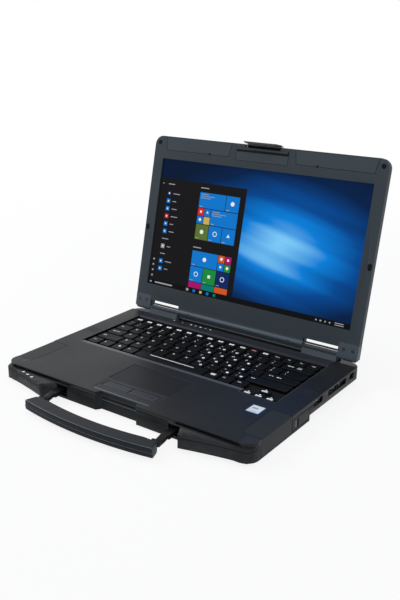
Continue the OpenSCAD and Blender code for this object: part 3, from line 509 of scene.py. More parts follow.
SLOT_LOOKS = {
    "case_plastic": shell_black, "palm_rest_plastic": palm_grey, "cap_plastic": shell_black,
    "strip_plastic": strip_black, "hinge_plastic": hinge_blue, "pad_plastic": pad_black,
    "black_plastic": tray_black, "key_plastic": key_black, "knob_plastic": knob_grey,
    "lid_plastic": lid_grey, "frame_plastic": frame_grey, "grip_plastic": grip_black,
    "screen": tray_black, "rubber": rubber_black, "steel": socket_steel, "screw_steel": dark_screw,
    "latch_metal": gunmetal, "arm_metal": arm_black, "aluminium": mill_aluminium,
    "copper": warm_copper, "circuit_board": board_green,
}
NODE_LOOKS = {"speaker_grilles": strip_black, "hinge_shafts": arm_black, "hinge_arms": arm_black,
              "handle_guides": arm_black, "lid_barrel": hinge_blue}
NODE_SLOT = {entry["node"]: entry["material_slot"] for entry in frame["record"]["subparts"]}


def look_of(node):
    """The material of a CAD node."""
    return NODE_LOOKS.get(node, SLOT_LOOKS[NODE_SLOT[node]])


for node, obj in frame["nodes"].items():
    obj.data.materials.clear()
    obj.data.materials.append(look_of(node))


def merged_copy(node):
    """A copy of a CAD node's mesh with its corners merged, left in edit mode with all selected."""
    piece = copy_of(frame["nodes"][node], node + "_rounded")
    for key in list(piece.keys()):
        del piece[key]
    piece.parent = None
    edit(piece, "EDGE")
    bpy.ops.mesh.select_all(action="SELECT")
    bpy.ops.mesh.remove_doubles(threshold=1e-6)
    return piece


def stand_for(piece, node):
    """Gives a rounded copy its node's look and body, and hides the node."""
    return finish_piece(piece, look_of(node), frame["nodes"][node]["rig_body"], NODE_SLOT[node], node)


def softened_node(node, width):
    """A rounded copy of a CAD node, which stands for the node."""
    piece = merged_copy(node)
    bpy.ops.mesh.dissolve_limited(angle_limit=radians(0.6))
    done()
    return stand_for(soften(piece, width, 2), node)


SOFT_EDGES = {
    1.2: ["handle_grip"],
    0.8: ["lid_cover"],
    0.5: ["lid_hinge_caps"],
    0.4: ["rubber_feet"],
    0.35: ["screen_frame", "lid_latch"],
    0.3: ["corner_caps", "hinge_covers", "lid_barrel", "drive_latch", "battery_latch", "left_click_button",
          "right_click_button", "power_button"],
    0.25: ["indicator_strip", "drive_door", "battery_door"],
    0.2: ["latch_seal", "button_frame", "lid_bumpers", "case_screws", "latch_pin"],
    0.15: ["lid_screws", "touchpad"],
    0.12: ["camera_cover", "antenna_covers"],
}
for width, rounded_nodes in SOFT_EDGES.items():
    for node in rounded_nodes:
        softened_node(node, width)


def round_long_edges(node, width, wanted):
    """A copy of a large shell with only its long wanted edges rounded, which stands for the node."""
    piece = merged_copy(node)
    bpy.ops.mesh.select_all(action="DESELECT")
    shape = bmesh.from_edit_mesh(piece.data)
    for edge in shape.edges:
        ends = [v.co * 1000 for v in edge.verts]
        long_edge = edge.is_manifold and edge.calc_length() > mm(3) and edge.calc_face_angle() > 0.6
        edge.select_set(bool(long_edge and wanted(*ends)))
    bmesh.update_edit_mesh(piece.data)
    bpy.ops.mesh.bevel(offset=mm(width), segments=2, affect="EDGES", clamp_overlap=False)
    done()
    return stand_for(even_shading(piece), node)


round_long_edges("top_case", 0.35, lambda a, b: min(a.z, b.z) > deck - 0.05)
round_long_edges("bottom_case", 0.5, lambda a, b: max(a.z, b.z) < low("bottom_case").z + 0.05)


# ---------- keyboard
cap_height = 1.9
cap_dish = 0.14
stem_half = 2.5
keycap_shapes = {}


def keycap(width, depth, bottom, top):
    """One keycap around the origin: round corners, sloping sides and a shallow dish."""
    shape_of_cap = (round(width, 1), round(depth, 1))
    if shape_of_cap not in keycap_shapes:
        shoulder = top - 0.75
        cap = block("keycap_shape", (-width / 2, -depth / 2, top - cap_height),
                    (width / 2, depth / 2, shoulder))
        edit(cap, "EDGE")
        pick_edges(upright_edges)
        bpy.ops.mesh.bevel(offset=mm(1.9), segments=4, affect="EDGES")
        bpy.ops.mesh.select_mode(type="FACE")
        pick_faces(lambda centre, normal: normal.z > 0.9)
        bpy.ops.mesh.inset(thickness=mm(0.65), depth=mm(top - shoulder))
        bpy.ops.mesh.inset(thickness=mm(1.1), depth=mm(-cap_dish))
        done()
        soften(cap, 0.18, 2, 20)
        stem = block("keycap_stem", (-stem_half, -stem_half, bottom),
                     (stem_half, stem_half, top - cap_height + 0.1))
        keycap_shapes[shape_of_cap] = join("keycap_shape", [cap, stem])
    return keycap_shapes[shape_of_cap]


def build_keys(node):
    """All caps of one key node, joined into the piece that stands for it."""
    caps = []
    for lo, hi in solid_boxes(node):
        middle = (lo + hi) / 2
        cap = keycap(hi.x - lo.x, hi.y - lo.y, lo.z, hi.z)
        caps.append(copy_of(cap, node + "_cap", (middle.x, middle.y, 0)))
    return finish_piece(join(node + "_caps", caps), key_black, node, "key_plastic", node)


def print_level(hi, layer=0):
    """Height (mm) of a printed mark on a cap: in its dish, one layer over the other."""
    return hi.z - cap_dish + 0.02 + 0.05 * layer


def key_word(words, lo, hi):
    """The white marks of one key: a letter, a pair of signs one above the other, or a word."""
    z = print_level(hi)
    left = lo.x + 4.9
    if len(words) == 1:
        return [lettering("key_letter", words, (left, hi.y - 5, z), 4.6)]
    if len(words) == 2 and not words.isalpha():
        return [lettering("key_sign", words[0], (left, lo.y + 4.5, z), 4),
                lettering("key_sign", words[1], (left, hi.y - 4.7, z), 4)]
    middle = lo.x + 1.9 + 0.29 * 2.9 * len(words)
    return [lettering("key_word", words, (middle, (lo.y + hi.y) / 2 + 1, z), 2.9)]


def number_spot(digit, lo, hi):
    """A white round spot at a key's lower right and the dark number on it."""
    x, y = hi.x - 4.6, lo.y + 4.3
    spot = disc("number_spot", 1.75, 0.05, (x, y, print_level(hi)), sides=20)
    number = lettering("spot_number", digit, (x, y, print_level(hi, 1)), 2.6, 0.05)
    return spot, number


def word_plate(words, lo, hi, middle, width, depth):
    """A small white field with a dark word in it."""
    field = plate("word_field", (*middle, print_level(hi)), width, depth, 0.05, 0.5)
    word = lettering("field_word", words, (*middle, print_level(hi, 1)), depth * 0.85, 0.05)
    return field, word


def print_keys(node, white, dark=(), red=()):
    """Joins the marks of a key node by ink and lets them ride on its keys."""
    for ink, marks, word in ((white_ink, white, "white"), (dark_ink, dark, "dark"), (red_ink, red, "red")):
        if marks:
            finish_piece(join(f"{node}_{word}_marks", list(marks)), ink, node, "key_plastic")


SIGN_ROWS = {
    "number_keys": ["`~", "1!", "2@", "3#", "4$", "5%", "6^", "7&", "8*", "9(", "0)", "-_", "=+"],
    "upper_letter_keys": [*"QWERTYUIOP", "[{", "]}", "\\|"],
    "home_letter_keys": [*"ASDFGHJKL", ";:", "'\""],
    "lower_letter_keys": [*"ZXCVBNM", ",<", ".>", "/?"],
}
NUMBER_PAD = {"7&": "7", "8*": "8", "9(": "9", "0)": "*", "U": "4", "I": "5", "O": "6", "P": "-",
              "J": "1", "K": "2", "L": "3", ";:": "+", "M": "0", ".>": ".", "/?": "/"}
FUNCTION_WORDS = ["Esc"] + [f"F{i}" for i in range(1, 13)] + ["Num", "Prt", "Ins", "Del"]
red_key = "F11"
MODIFIER_WORDS = ["Ctrl", "Fn", "", "Alt", "Menu", "Alt", "Ctrl", "Shift", "Shift", "Caps Lock", "Tab"]
ARROW_WORDS = {"left": "Home", "down": "PgDn", "right": "End", "up": "PgUp"}


def by_rows(node, row):
    """A key node's boxes from the front row to the back and from left to right."""
    return sorted(solid_boxes(node), key=lambda box: (round(box[0].y / row), box[0].x))


def print_sign_row(node, signs):
    """Letters and signs of one row, with the number pad's spots."""
    white, dark = [], []
    for words, (lo, hi) in zip(signs, solid_boxes(node)):
        white += key_word(words, lo, hi)
        if words in NUMBER_PAD:
            spot, number = number_spot(NUMBER_PAD[words], lo, hi)
            white.append(spot)
            dark.append(number)
    print_keys(node, white, dark)


def print_function_row():
    """White fields with dark words, a red one among them, and bare words on the last four keys."""
    white, dark, red = [], [], []
    for words, (lo, hi) in zip(FUNCTION_WORDS, solid_boxes("function_keys")):
        middle = ((lo.x + hi.x) / 2 - 0.3, (lo.y + hi.y) / 2 + 0.9)
        if words in FUNCTION_WORDS[-4:]:
            white.append(lettering("function_word", words, (*middle, print_level(hi)), 3))
            continue
        field, word = word_plate(words, lo, hi, middle, 7, 3.3)
        if words == red_key:
            red.append(field)
            white.append(word)
        else:
            white.append(field)
            dark.append(word)
    print_keys("function_keys", white, dark, red)


def print_modifiers():
    """Words, three lines on the menu key and a diamond on the plain one."""
    white = []
    for words, (lo, hi) in zip(MODIFIER_WORDS, by_rows("modifier_keys", 4)):
        x, y, z = (lo.x + hi.x) / 2, (lo.y + hi.y) / 2 + 1, print_level(hi)
        if words == "Menu":
            white += [plate("menu_line", (x, y + step, z), 6.4, 1, 0.05, 0.2) for step in (-1.5, 0, 1.5)]
        elif words:
            white += key_word(words, lo, hi)
        else:
            white.append(disc("diamond_mark", 1.9, 0.05, (x, y, z), sides=4))
    print_keys("modifier_keys", white)


def arrow_head(way, middle):
    """A small triangle that points left, right, up or down."""
    turn = {"up": 0, "left": pi / 2, "down": pi, "right": -pi / 2}[way]
    return disc("arrow_head", 1.5, 0.05, middle, turn=(0, 0, turn), sides=3)


def print_arrows():
    """A triangle over a white field with a dark word on each arrow key."""
    white, dark = [], []
    for way, (lo, hi) in zip(ARROW_WORDS, by_rows("arrow_keys", 8)):
        x, y = (lo.x + hi.x) / 2, (lo.y + hi.y) / 2
        white.append(arrow_head(way, (x, y + 2, print_level(hi))))
        field, word = word_plate(ARROW_WORDS[way], lo, hi, (x, y - 1.5), 7.2, 2.9)
        white.append(field)
        dark.append(word)
    print_keys("arrow_keys", white, dark)


def print_wide_keys():
    """A word and an arrow on the enter and backspace keys, and the line on the space bar."""
    spots = {}
    for node in ("enter_key", "backspace_key", "space_bar"):
        lo, hi = solid_boxes(node)[0]
        spots[node] = (lo.x, (lo.y + hi.y) / 2 + 1, print_level(hi))
    x, y, z = spots["enter_key"]
    print_keys("enter_key", [lettering("enter_word", "Enter", (x + 9.5, y, z), 3),
                             plate("enter_bar", (x + 20.5, y, z), 4.6, 0.8, 0.05, 0.2),
                             arrow_head("left", (x + 17.8, y, z))])
    x, y, z = spots["backspace_key"]
    print_keys("backspace_key", [plate("backspace_bar", (x + 10, y, z), 7, 0.8, 0.05, 0.2),
                                 arrow_head("left", (x + 6.4, y, z)),
                                 lettering("backspace_word", "Back\nspace", (x + 21, y, z), 2.7)])
    x, y, z = spots["space_bar"]
    print_keys("space_bar", [plate("space_line", (-14.5, y + 1, z), 65, 1, 0.05, 0.3)])


for node in NODE_SLOT:
    if node.endswith(("_keys", "_key", "_bar")):
        build_keys(node)
for cap in keycap_shapes.values():
    bpy.data.objects.remove(cap)
for node, signs in SIGN_ROWS.items():
    print_sign_row(node, signs)
print_function_row()
print_modifiers()
print_arrows()
print_wide_keys()


# ---------- screen picture
def wallpaper():
    """Deep blue that brightens to a soft azure glow with faint slanting beams."""
    look = Look("screen_wallpaper")
    to_lid = LID.inverted()
    upright = look.mapped(look.place, Location=to_lid.to_translation(), Rotation=to_lid.to_euler())
    glow_x, glow_z, wide, tall = 0.042, 0.118, 0.20, 0.112
    around = look.mapped(upright, Location=(-glow_x / wide, 0, -glow_z / tall),
                         Scale=(1 / wide, 0, 1 / tall))
    slant = look.mapped(upright, "TEXTURE", Rotation=(0, radians(14), 0), Scale=(0.6, 1, 0.028))
    beams = look.noise(Vector=slant, Scale=1, Detail=2, Roughness=0.4)
    glow = combine(look.tree, "MULTIPLY", look.halo(around), look.spread(beams, 0.3, 0.7, 0.78, 1.22))
    light = look.ramp(glow, (0, (0.0004, 0.007, 0.028)), (0.2, (0.0004, 0.013, 0.062)),
                      (0.45, (0, 0.060, 0.27)), (0.7, (0.001, 0.20, 0.66)), (0.99, (0.20, 0.58, 0.92)))
    return shining(look, light, (0.002, 0.004, 0.008, 1))


panel_dark = lit("menu_panel", (0.0075, 0.0075, 0.008))
strip_dark = lit("task_strip", (0.0035, 0.0038, 0.0045))
pale_mark = lit("menu_words", (0.34, 0.36, 0.38))
white_mark = lit("tile_signs", (0.80, 0.84, 0.88))
TILE_INKS = {ink: lit("tile_" + ink, color) for ink, color in {
    "azure": (0.003, 0.18, 0.60), "deep": (0.004, 0.02, 0.12), "teal": (0, 0.19, 0.17),
    "green": (0.01, 0.25, 0.045), "orange": (0.62, 0.09, 0.015), "plum": (0.38, 0.005, 0.13),
    "red": (0.66, 0.02, 0.025), "slate": (0.30, 0.31, 0.32), "gold": (0.62, 0.40, 0.10),
    "leaf": (0.10, 0.17, 0.03)}.items()}
picture_face = -2.7


def screen_field(name, left, bottom, right, top, layer, material, corner=0.25):
    """A thin lit field, placed by millimetres from the picture's lower left corner."""
    near = picture_face - 0.05 * (layer + 1)
    field = block(name, (left - screen_half, near, screen_low + bottom),
                  (right - screen_half, near + 0.05, screen_low + top))
    edit(field, "EDGE")
    pick_edges(lambda a, b: abs(a.x - b.x) < 0.01 and abs(a.z - b.z) < 0.01)
    bpy.ops.mesh.bevel(offset=mm(corner), segments=2, affect="EDGES")
    done()
    field.data.materials.append(material)
    return lean_back(field)


def dash(name, left, y, width, height=1, layer=2):
    """A pale word-like dash, its height centred on y."""
    return screen_field(name, left, y - height / 2, left + width, y + height / 2, layer, pale_mark)


def screen_sign(kind, middle, size, layer):
    """A plain white sign: a ring, disc, square or triangle, centred by millimetres on the picture."""
    y = picture_face - 0.05 * (layer + 1)
    place = (middle[0] - screen_half, y, screen_low + middle[1])
    if kind == "ring":
        deselect()
        bpy.ops.mesh.primitive_torus_add(major_radius=mm(size), minor_radius=mm(size * 0.16),
                                         major_segments=24, minor_segments=6,
                                         location=mm(*place), rotation=(pi / 2, 0, 0))
        sign = settle(name_new("sign_ring"))
        for vertex in sign.data.vertices:
            vertex.co.y = mm(y) + (vertex.co.y - mm(y)) * 0.15
    else:
        sides = {"disc": 20, "square": 4, "triangle": 3}[kind]
        turn = (pi / 2, radians(45 if sides == 4 else 0), 0)
        sign = disc("sign_" + kind, size, 0.05, place, turn, sides)
    sign.data.materials.append(white_mark)
    return lean_back(sign)


def ride_screen(name, parts):
    """Joins lit fields, each with its own colour, and lets them ride on the lid."""
    piece = join(name, parts)
    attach(piece, "lid")
    return piece


screen_wide = 2 * screen_half
screen_tall = screen_high - screen_low
strip_tall = 7
menu_right = 140
menu_top = 148
tile = 10.6
tile_gap = 0.9
TILES = [
    # column, row, columns wide, rows tall, ink, sign; rows count up from the task strip
    (0, 0, 2, 0.8, "plum", ""), (2, 0, 2, 0.8, "teal", ""), (4, 0, 2, 0.8, "orange", ""),
    (0, 0.8, 2, 2, "azure", "ring"), (2, 0.8, 2, 2, "green", "square"), (4, 0.8, 2, 2, "deep", "ring"),
    (0, 2.8, 4, 2, "azure", "disc"), (4, 2.8, 1, 1, "azure", "square"), (5, 2.8, 1, 1, "green", "disc"),
    (4, 3.8, 1, 1, "orange", "disc"), (5, 3.8, 1, 1, "plum", "square"),
    (0, 6.2, 2, 2, "leaf", "disc"), (2, 6.2, 2, 2, "azure", "ring"), (4, 6.2, 2, 2, "azure", "triangle"),
    (0, 8.2, 1, 1, "azure", "disc"), (1, 8.2, 1, 1, "gold", ""), (0, 9.2, 1, 1, "red", "square"),
    (1, 9.2, 1, 1, "azure", "triangle"), (2, 8.2, 4, 2, "azure", ""),
    (0, 10.2, 4, 2, "azure", ""), (4, 10.2, 2, 2, "azure", "disc"),
]


def build_picture():
    """The lit background with the menu's dark panel and the task strip on it."""
    back = screen_field("picture", 0.1, 0.1, screen_wide - 0.1, screen_tall - 0.1, 0, wallpaper(), 0.5)
    panels = [screen_field("menu_panel", 0.1, strip_tall, menu_right, menu_top, 1, panel_dark),
              screen_field("task_strip", 0.1, 0.1, screen_wide - 0.1, strip_tall, 1, strip_dark)]
    ride_screen("screen_picture", [back])
    ride_screen("screen_panels", panels)


def build_menu():
    """The left column: rows of small coloured squares and pale word-like dashes."""
    parts = [dash("menu_dash", 14.5, 140.6, 10.5, 1.2), dash("side_mark", 4.2, 140.6, 3, 0.8)]
    inks = ["azure", "azure", "", "slate", "", "azure", "azure", "red", "azure", "azure", "deep"]
    for row, ink in enumerate(inks):
        y = 24 + 10.4 * row
        if ink:
            parts.append(screen_field("menu_square", 14.5, y - 3, 20.5, y + 3, 2, TILE_INKS[ink]))
            parts.append(screen_field("square_sign", 16.4, y - 1, 18.6, y + 1, 3, white_mark))
        parts.append(dash("menu_dash", 24.5 if ink else 14.5, y, 6 + 2.5 * (row * 5 % 3)))
    parts += [dash("side_mark", 4.2, 12.5 + 7.6 * row, 2.6, 2.2) for row in range(4)]
    ride_screen("screen_menu", parts)


def build_tiles():
    """Coloured tiles, each with a plain sign or a few dashes."""
    parts = []
    left, bottom = 68.5, strip_tall + 0.4
    for column, row, wide, tall, ink, sign in TILES:
        x, y = left + column * tile, bottom + row * tile
        right, top = x + wide * tile - tile_gap, y + tall * tile - tile_gap
        parts.append(screen_field("tile", x, y, right, top, 2, TILE_INKS[ink], 0.2))
        if sign:
            middle = ((x + right) / 2, (y + top) / 2 + 0.4)
            parts.append(screen_sign(sign, middle, 1.1 + 0.9 * min(wide, tall), 3))
        elif tall > 1:
            for step, length in enumerate((12, 22, 16)):
                parts.append(dash("tile_line", x + 1.6, top - 2.25 - 2.6 * step, length, 0.7, 3))
        if tall > 1:
            parts.append(dash("tile_dash", x + 1.4, y + 1.7, 5, 0.8, 3))
    parts += [dash("group_dash", left, bottom + row * tile + 0.6, 13, 1.2) for row in (5.1, 12.6)]
    ride_screen("screen_tiles", parts)


def build_task_marks():
    """The strip along the picture's foot: coloured squares, pale marks and a clock's two dashes."""
    parts = [screen_field("task_square", 66 + 11.0 * step, 1.9, 70 + 11.0 * step, 5.4, 2, TILE_INKS[ink])
             for step, ink in enumerate(["slate", "azure", "gold", "azure", "teal"])]
    parts += [dash("task_mark", x, 3.5, wide, 1.8) for x, wide in (
        (3, 3.4), (12, 30), (262, 2), (268, 2.4), (274.5, 2), (280.5, 2))]
    parts += [dash("clock_dash", 288, y, 12, 0.9) for y in (2.45, 4.85)]
    ride_screen("screen_task_marks", parts)


build_picture()
build_menu()
build_tiles()
build_task_marks()


# ---------- handle
grip_mid = (low("handle_grip").z + high("handle_grip").z) / 2
right_arm = solid_boxes("handle_arms")[-1]
arm_x = (right_arm[0].x + right_arm[1].x) / 2
arm_drop = 2.4


def build_arm(mirrored):
    """A cranked flat arm: level in the case, bent down to the grip, with a knuckle at the end."""
    near, far = low("handle_arms").y, high("handle_arms").y
    top = high("handle_arms").z - 0.1
    bar = block("arm_bar", (arm_x - 4.6, near, top - 4.6), (arm_x + 4.6, far, top))
    edit(bar, "EDGE")
    pick_edges(lambda a, b: abs(a.y - b.y) > 1)
    bpy.ops.mesh.subdivide(number_cuts=15)
    done()
    for vertex in bar.data.vertices:
        along = (vertex.co.y * 1000 - near - 6) / 12
        eased = min(1, max(0, along))
        vertex.co.z -= mm(arm_drop) * (1 - eased * eased * (3 - 2 * eased))
    soften(bar, 1.3, 3, 40)
    knuckle = disc("arm_knuckle", 3.4, 10.2, (arm_x, near + 2.6, grip_mid + 1.4), (0, pi / 2, 0), 32)
    soften(knuckle, 0.8, 3)
    collar = block("arm_collar", (arm_x - 5.2, near + 17.5, top - 5.6),
                   (arm_x + 5.2, near + 25.5, top + 0.1))
    soften(collar, 0.9, 3)
    arm = join("arm", [bar, knuckle, collar])
    if mirrored:
        arm.data.transform(Matrix.Scale(-1, 4, (1, 0, 0)))
        arm.data.flip_normals()
    return arm


def build_handle():
    arms = join("handle_arms_cranked", [build_arm(False), build_arm(True)])
    finish_piece(arms, arm_black, "handle", "arm_metal", "handle_arms")
    half, front_face, bow = 84 + 4.8, low("handle_grip").y, 8.5
    steps = [i / 12 - 1 for i in range(25)]

    def along_grip(z, out):
        return [(t * half, front_face + bow * t * t - out, z) for t in steps]

    # The groove rod is a dark seam line. The rib is a real ridge whose lighter grey is partly a painted
    # highlight. The edge rod, in lighter steel-blue, is a painted highlight along the grip's top front edge.
    for name, z, out, radius, look in (
            ("grip_groove", grip_mid - 1.2, -0.12, 0.3, seam_black),
            ("grip_rib", grip_mid - 0.4, -0.25, 0.45, rim_grey),
            ("grip_edge_highlight", high("handle_grip").z - 0.72, -0.62, 0.42, hinge_blue)):
        finish_piece(rod_along(name, along_grip(z, out), radius), look, "handle", "grip_plastic")


build_handle()


# ---------- marks and trims of the case
def case_piece(piece, material, slot="case_plastic"):
    """A trim that belongs to the case."""
    return finish_piece(piece, material, "base", slot)


def build_label():
    """Blank paper label with a blue border, on the palm rest under the arrow keys."""
    x, y = 134, -51
    border = plate("label_border", (x, y, deck + 0.05), 16.5, 18.5, 0.1, 1.2)
    paper = plate("label_paper", (x, y + 0.3, deck + 0.12), 14.6, 15.8, 0.06, 0.8)
    line = plate("label_rule", (x, y - 5, deck + 0.17), 9, 0.8, 0.04, 0.2)
    block_mark = plate("label_field", (x - 1.6, y + 2.2, deck + 0.17), 7, 3.4, 0.04, 0.6)
    case_piece(border, label_blue, "palm_rest_plastic")
    case_piece(paper, label_white, "palm_rest_plastic")
    case_piece(join("label_marks", [line, block_mark]), grey_ink, "palm_rest_plastic")


def build_indicators():
    """Small white marks behind the function keys and the ring on the power button."""
    y = high("indicator_strip").y - 3
    z = deck + 0.02
    marks = [plate("strip_mark", (x, y, z), width, depth, 0.05, 0.3)
             for x, width, depth in ((-67.5, 2.6, 1.6), (-52, 3, 1.5), (-36, 2.4, 1.3))]
    marks += [disc("strip_mark", radius, 0.05, (x, y, z), sides=sides)
              for x, radius, sides in ((-60, 0.95, 24), (-44, 1.1, 3), (-96, 0.8, 24))]
    case_piece(join("indicator_marks", marks), white_ink, "strip_plastic")
    lo, hi = solid_boxes("power_button")[0]
    middle = (lo + hi) / 2
    ring = [(middle.x + 1.1 * sin(turn), middle.y + 1.1 * cos(turn), hi.z)
            for turn in [radians(a) for a in range(35, 330, 15)]]
    stroke = [(middle.x, middle.y + 0.2, hi.z), (middle.x, middle.y + 1.4, hi.z)]
    symbol = rods("power_symbol", (ring, stroke), 0.13)
    finish_piece(symbol, white_ink, "power_button", "key_plastic")


def build_pad_trims():
    """Outlines round the two buttons, the slit between them and the bright lip in front."""
    outlines = []
    for node in ("left_click_button", "right_click_button"):
        lo, hi = low(node), high(node)
        x, y = (lo.x + hi.x) / 2, (lo.y + hi.y) / 2
        outlines.append(round_loop((x, y, hi.z), hi.x - lo.x - 3, hi.y - lo.y - 2.6, 2.2))
    case_piece(rods("button_outlines", outlines, 0.2, closed=True), rim_grey, "strip_plastic")
    slit = plate("button_slit", (0, y + 0.6, high("button_frame").z + 0.02), 1, 5.2, 0.06, 0.3)
    case_piece(slit, seam_black, "strip_plastic")
    near = low("button_frame").y
    lip = block("pad_lip", (-39.5, near - 3.4, deck - 2.4), (40.5, near + 0.6, deck + 0.05))
    soften(lip, 1.3, 3)
    case_piece(lip, hinge_blue, "strip_plastic")


def wing_front(x):
    """Front edge (mm) of a wing at x, seen from above."""
    tip, end, reach = 96, side - 4.5, 16
    return front - 1 - (reach - 1) * max(0, (end - x) / (end - tip)) ** 1.3


def wing_line(name, z, radius, out, material, mirrored=False):
    """A ridge or groove that follows a wing's front and wraps round the corner."""
    end = side - 4.5
    path = [(x, wing_front(x) - out, z) for x in [96 + (end - 96) * i / 16 for i in range(17)]]
    path += [(side - 1 + out * 0.7, front + 6, z), (side - radius + 0.05, front + 14.5, z)]
    if mirrored:
        path = [(-x, y, z) for x, y, z in path]
    return case_piece(rod_along(name, path, radius), material)


def build_wings():
    top = deck - 5
    for mirrored, tag in ((False, "right"), (True, "left")):
        wing_line(f"{tag}_wing_groove", top - 3.6, 0.35, -0.15, seam_black, mirrored)
        wing_line(f"{tag}_wing_ridge", top - 2.9, 0.45, -0.2, shell_black, mirrored)
    marks = []
    for i, (x, y) in enumerate(((-140, -123.4), (-131, -125.6), (-122, -127.8))):
        marks.append(plate(f"wing_mark_{i}", (x, y, top + 0.03), 3.4, 1.5, 0.06, 0.4))
        marks.append(disc(f"wing_dot_{i}", 0.7, 0.06, (x + 0.6, y + 1.6, top + 0.03)))
    case_piece(join("wing_marks", marks), white_ink)


def build_well_rim():
    """The slim satin edge round the keyboard well."""
    left, right = low("keyboard_tray").x - 0.3, high("keyboard_tray").x + 0.3
    near, back = low("keyboard_tray").y - 0.35, low("indicator_strip").y
    middle, step = low("arrow_keys").x - 1.5, -20.2
    path = [(left, back), (left, step), (middle, step), (middle, near), (right, near), (right, back)]
    rim = rod_along("well_rim", [(x, y, deck - 0.32) for x, y in path], 0.42)
    case_piece(rim, rim_grey, "palm_rest_plastic")
    # The shelf is a real slope; its lighter grey is partly a painted highlight on it.
    shelf = block("well_shelf", (left + 0.4, step + 0.3, deck - 4.4), (middle + 0.2, step + 6.8, deck - 0.3))
    for vertex in shelf.data.vertices:
        if vertex.co.y > mm(step + 3) and vertex.co.z > mm(deck - 2):
            vertex.co.z = mm(deck - 0.9)
    soften(shelf, 0.4, 2)
    case_piece(shelf, rim_grey, "palm_rest_plastic")


def build_cap_seams():
    """Dark seams round the corner caps, on top and down the sides."""
    near, far = low("corner_caps").y - 0.1, high("corner_caps").y + 0.1
    inner, round_near, round_far = 148, 9, 4
    paths = []
    for sign in (-1, 1):
        outline = [(side - 0.4, near)]
        for t in [pi / 2 * i / 6 for i in range(7)]:
            outline.append((inner + round_near * (1 - sin(t)), near + round_near * (1 - cos(t))))
        for t in [pi / 2 * i / 5 for i in range(6)]:
            outline.append((inner + round_far * (1 - cos(t)), far - round_far * (1 - sin(t))))
        outline.append((side - 0.4, far))
        paths.append([(sign * x, y, deck - 0.1) for x, y in outline])
        x = sign * (side - 0.12)
        paths += [[(x, y, deck - 0.4), (x, y, 3.2)] for y in (near, far)]
    case_piece(rods("cap_seams", paths, 0.2), seam_black)


def build_case_seams():
    """The seam between the halves of the case, short ones at the side and the front, and the bay's two bright
    lines, painted highlights along its steps.
    """
    split, face = high("bottom_case").z, front + 0.1
    side_paths, front_paths = [], []
    for sign in (-1, 1):
        x = sign * (side - 0.12)
        side_paths.append([(x, high("corner_caps").y, split), (x, 116, split)])
        side_paths += [[(x, y, split), (x, y, 8.6)] for y in (2.5, 33)]
        front_paths += [[(sign * 30.5, face, z), (sign * 71, face, z)] for z in (13.5, split)]
    seams = [rods("side_seams", side_paths, 0.2), rods("front_seams", front_paths, 0.3)]
    case_piece(join("case_seams", seams), seam_black)
    # The bay's lines are rods in lighter steel-blue: painted highlights on the steps of the latch bay.
    bay_paths = [[(-24.5, front + y, z), (24.5, front + y, z)] for y, z in ((6, 13.9), (6.4, 18.2))]
    case_piece(rods("bay_highlight_lines", bay_paths, 0.5), hinge_blue)


def build_rear_lip():
    """The dark sill of the case behind the round cover and behind each hinge."""
    sills = block_pair("rear_sill", (96.2, 125.7, 20.2), (146.4, 127.3, 23.3))
    sills.append(block("rear_sill", (-95.6, 123.6, 20.2), (95.6, 127.3, 23.3)))
    for sill in sills:
        soften(sill, 0.4, 3)
    case_piece(join("rear_sill", sills), strip_black, "strip_plastic")


def build_hinge_shade_bands():
    """The dark band across the upper front of each hinge cover, on its round, is painted shade."""
    facets = []
    cover = high("hinge_covers").x
    for turn in (14, 22, 30, 38, 46):
        for facet in block_pair("cover_shade_band", (cover - 46, -4.6, -0.36), (cover - 1, -4.3, 0.36)):
            facet.data.transform(Matrix.Translation(mm(0, axis_y, axis_z))
                                 @ Matrix.Rotation(-radians(turn), 4, "X"))
            facets.append(facet)
    # Dark strip plastic laid on the steel-blue covers as painted shade.
    case_piece(join("cover_shade_bands", facets), strip_black, "hinge_plastic")


def lid_trim(piece, material, slot="frame_plastic"):
    """A trim that belongs to the lid, leaned back with it."""
    return finish_piece(lean_back(piece), material, "lid", slot)


def build_slot_frames():
    """Sill and end posts of the slot above each hinge cover."""
    inner, outer = high("hinge_covers").x - 47, high("hinge_covers").x
    bars = block_pair("slot_bar", (inner, 1, 4.65), (outer, 2, 6))
    bars += block_pair("slot_bar", (inner, -2.5, 6), (outer, -0.8, 7.6))
    posts = block_pair("slot_post", (inner, -2.5, 6), (inner + 1, 3.7, 11.6))
    posts += block_pair("slot_post", (outer - 1, -2.5, 6), (outer, 3.7, 11.6))
    for bar in bars:
        soften(bar, 0.25, 2)
    for post in posts:
        soften(post, 0.2, 2)
    lid_trim(join("slot_frames", bars + posts), frame_grey)


def build_frame_lines():
    """Outlines of the covers on the lid frame, with their notches, and rims of the bumpers."""
    face, top = lid_face + 0.1, lid_top - 1.4
    foot, camera_foot, camera_top = lid_top - 18.2, lid_top - 21, lid_top - 7
    paths = [[(left, face, top), (left + 3, face, foot), (right - 3, face, foot), (right, face, top)]
             for left, right in ((-lid_half + 18, -46), (47, lid_half - 14))]
    paths.append([(-38, face, camera_top), (-38, face, camera_foot), (38, face, camera_foot),
                  (38, face, camera_top)])
    lines = [rods("cover_outlines", paths, 0.3)]
    lines += [disc("cover_notch", 1.5, 0.3, (x, face, lid_top - 17.6), (pi / 2, 0, 0), 16)
              for x in (-79, 79)]
    for x, width, tall, up in ((166, 4.6, 8.4, lid_top * 0.47), (162.5, 5.8, 5.8, lid_top - 8.8)):
        for sign in (-1, 1):
            rim = plate("bumper_rim", (0, 0, 0), width, tall, 0.16, width / 2 - 0.05)
            rim.data.transform(Matrix.Translation(mm(sign * x, lid_face - 0.05, up))
                               @ Matrix.Rotation(pi / 2, 4, "X"))
            lines.append(rim)
    lid_trim(join("frame_lines", lines), seam_black)


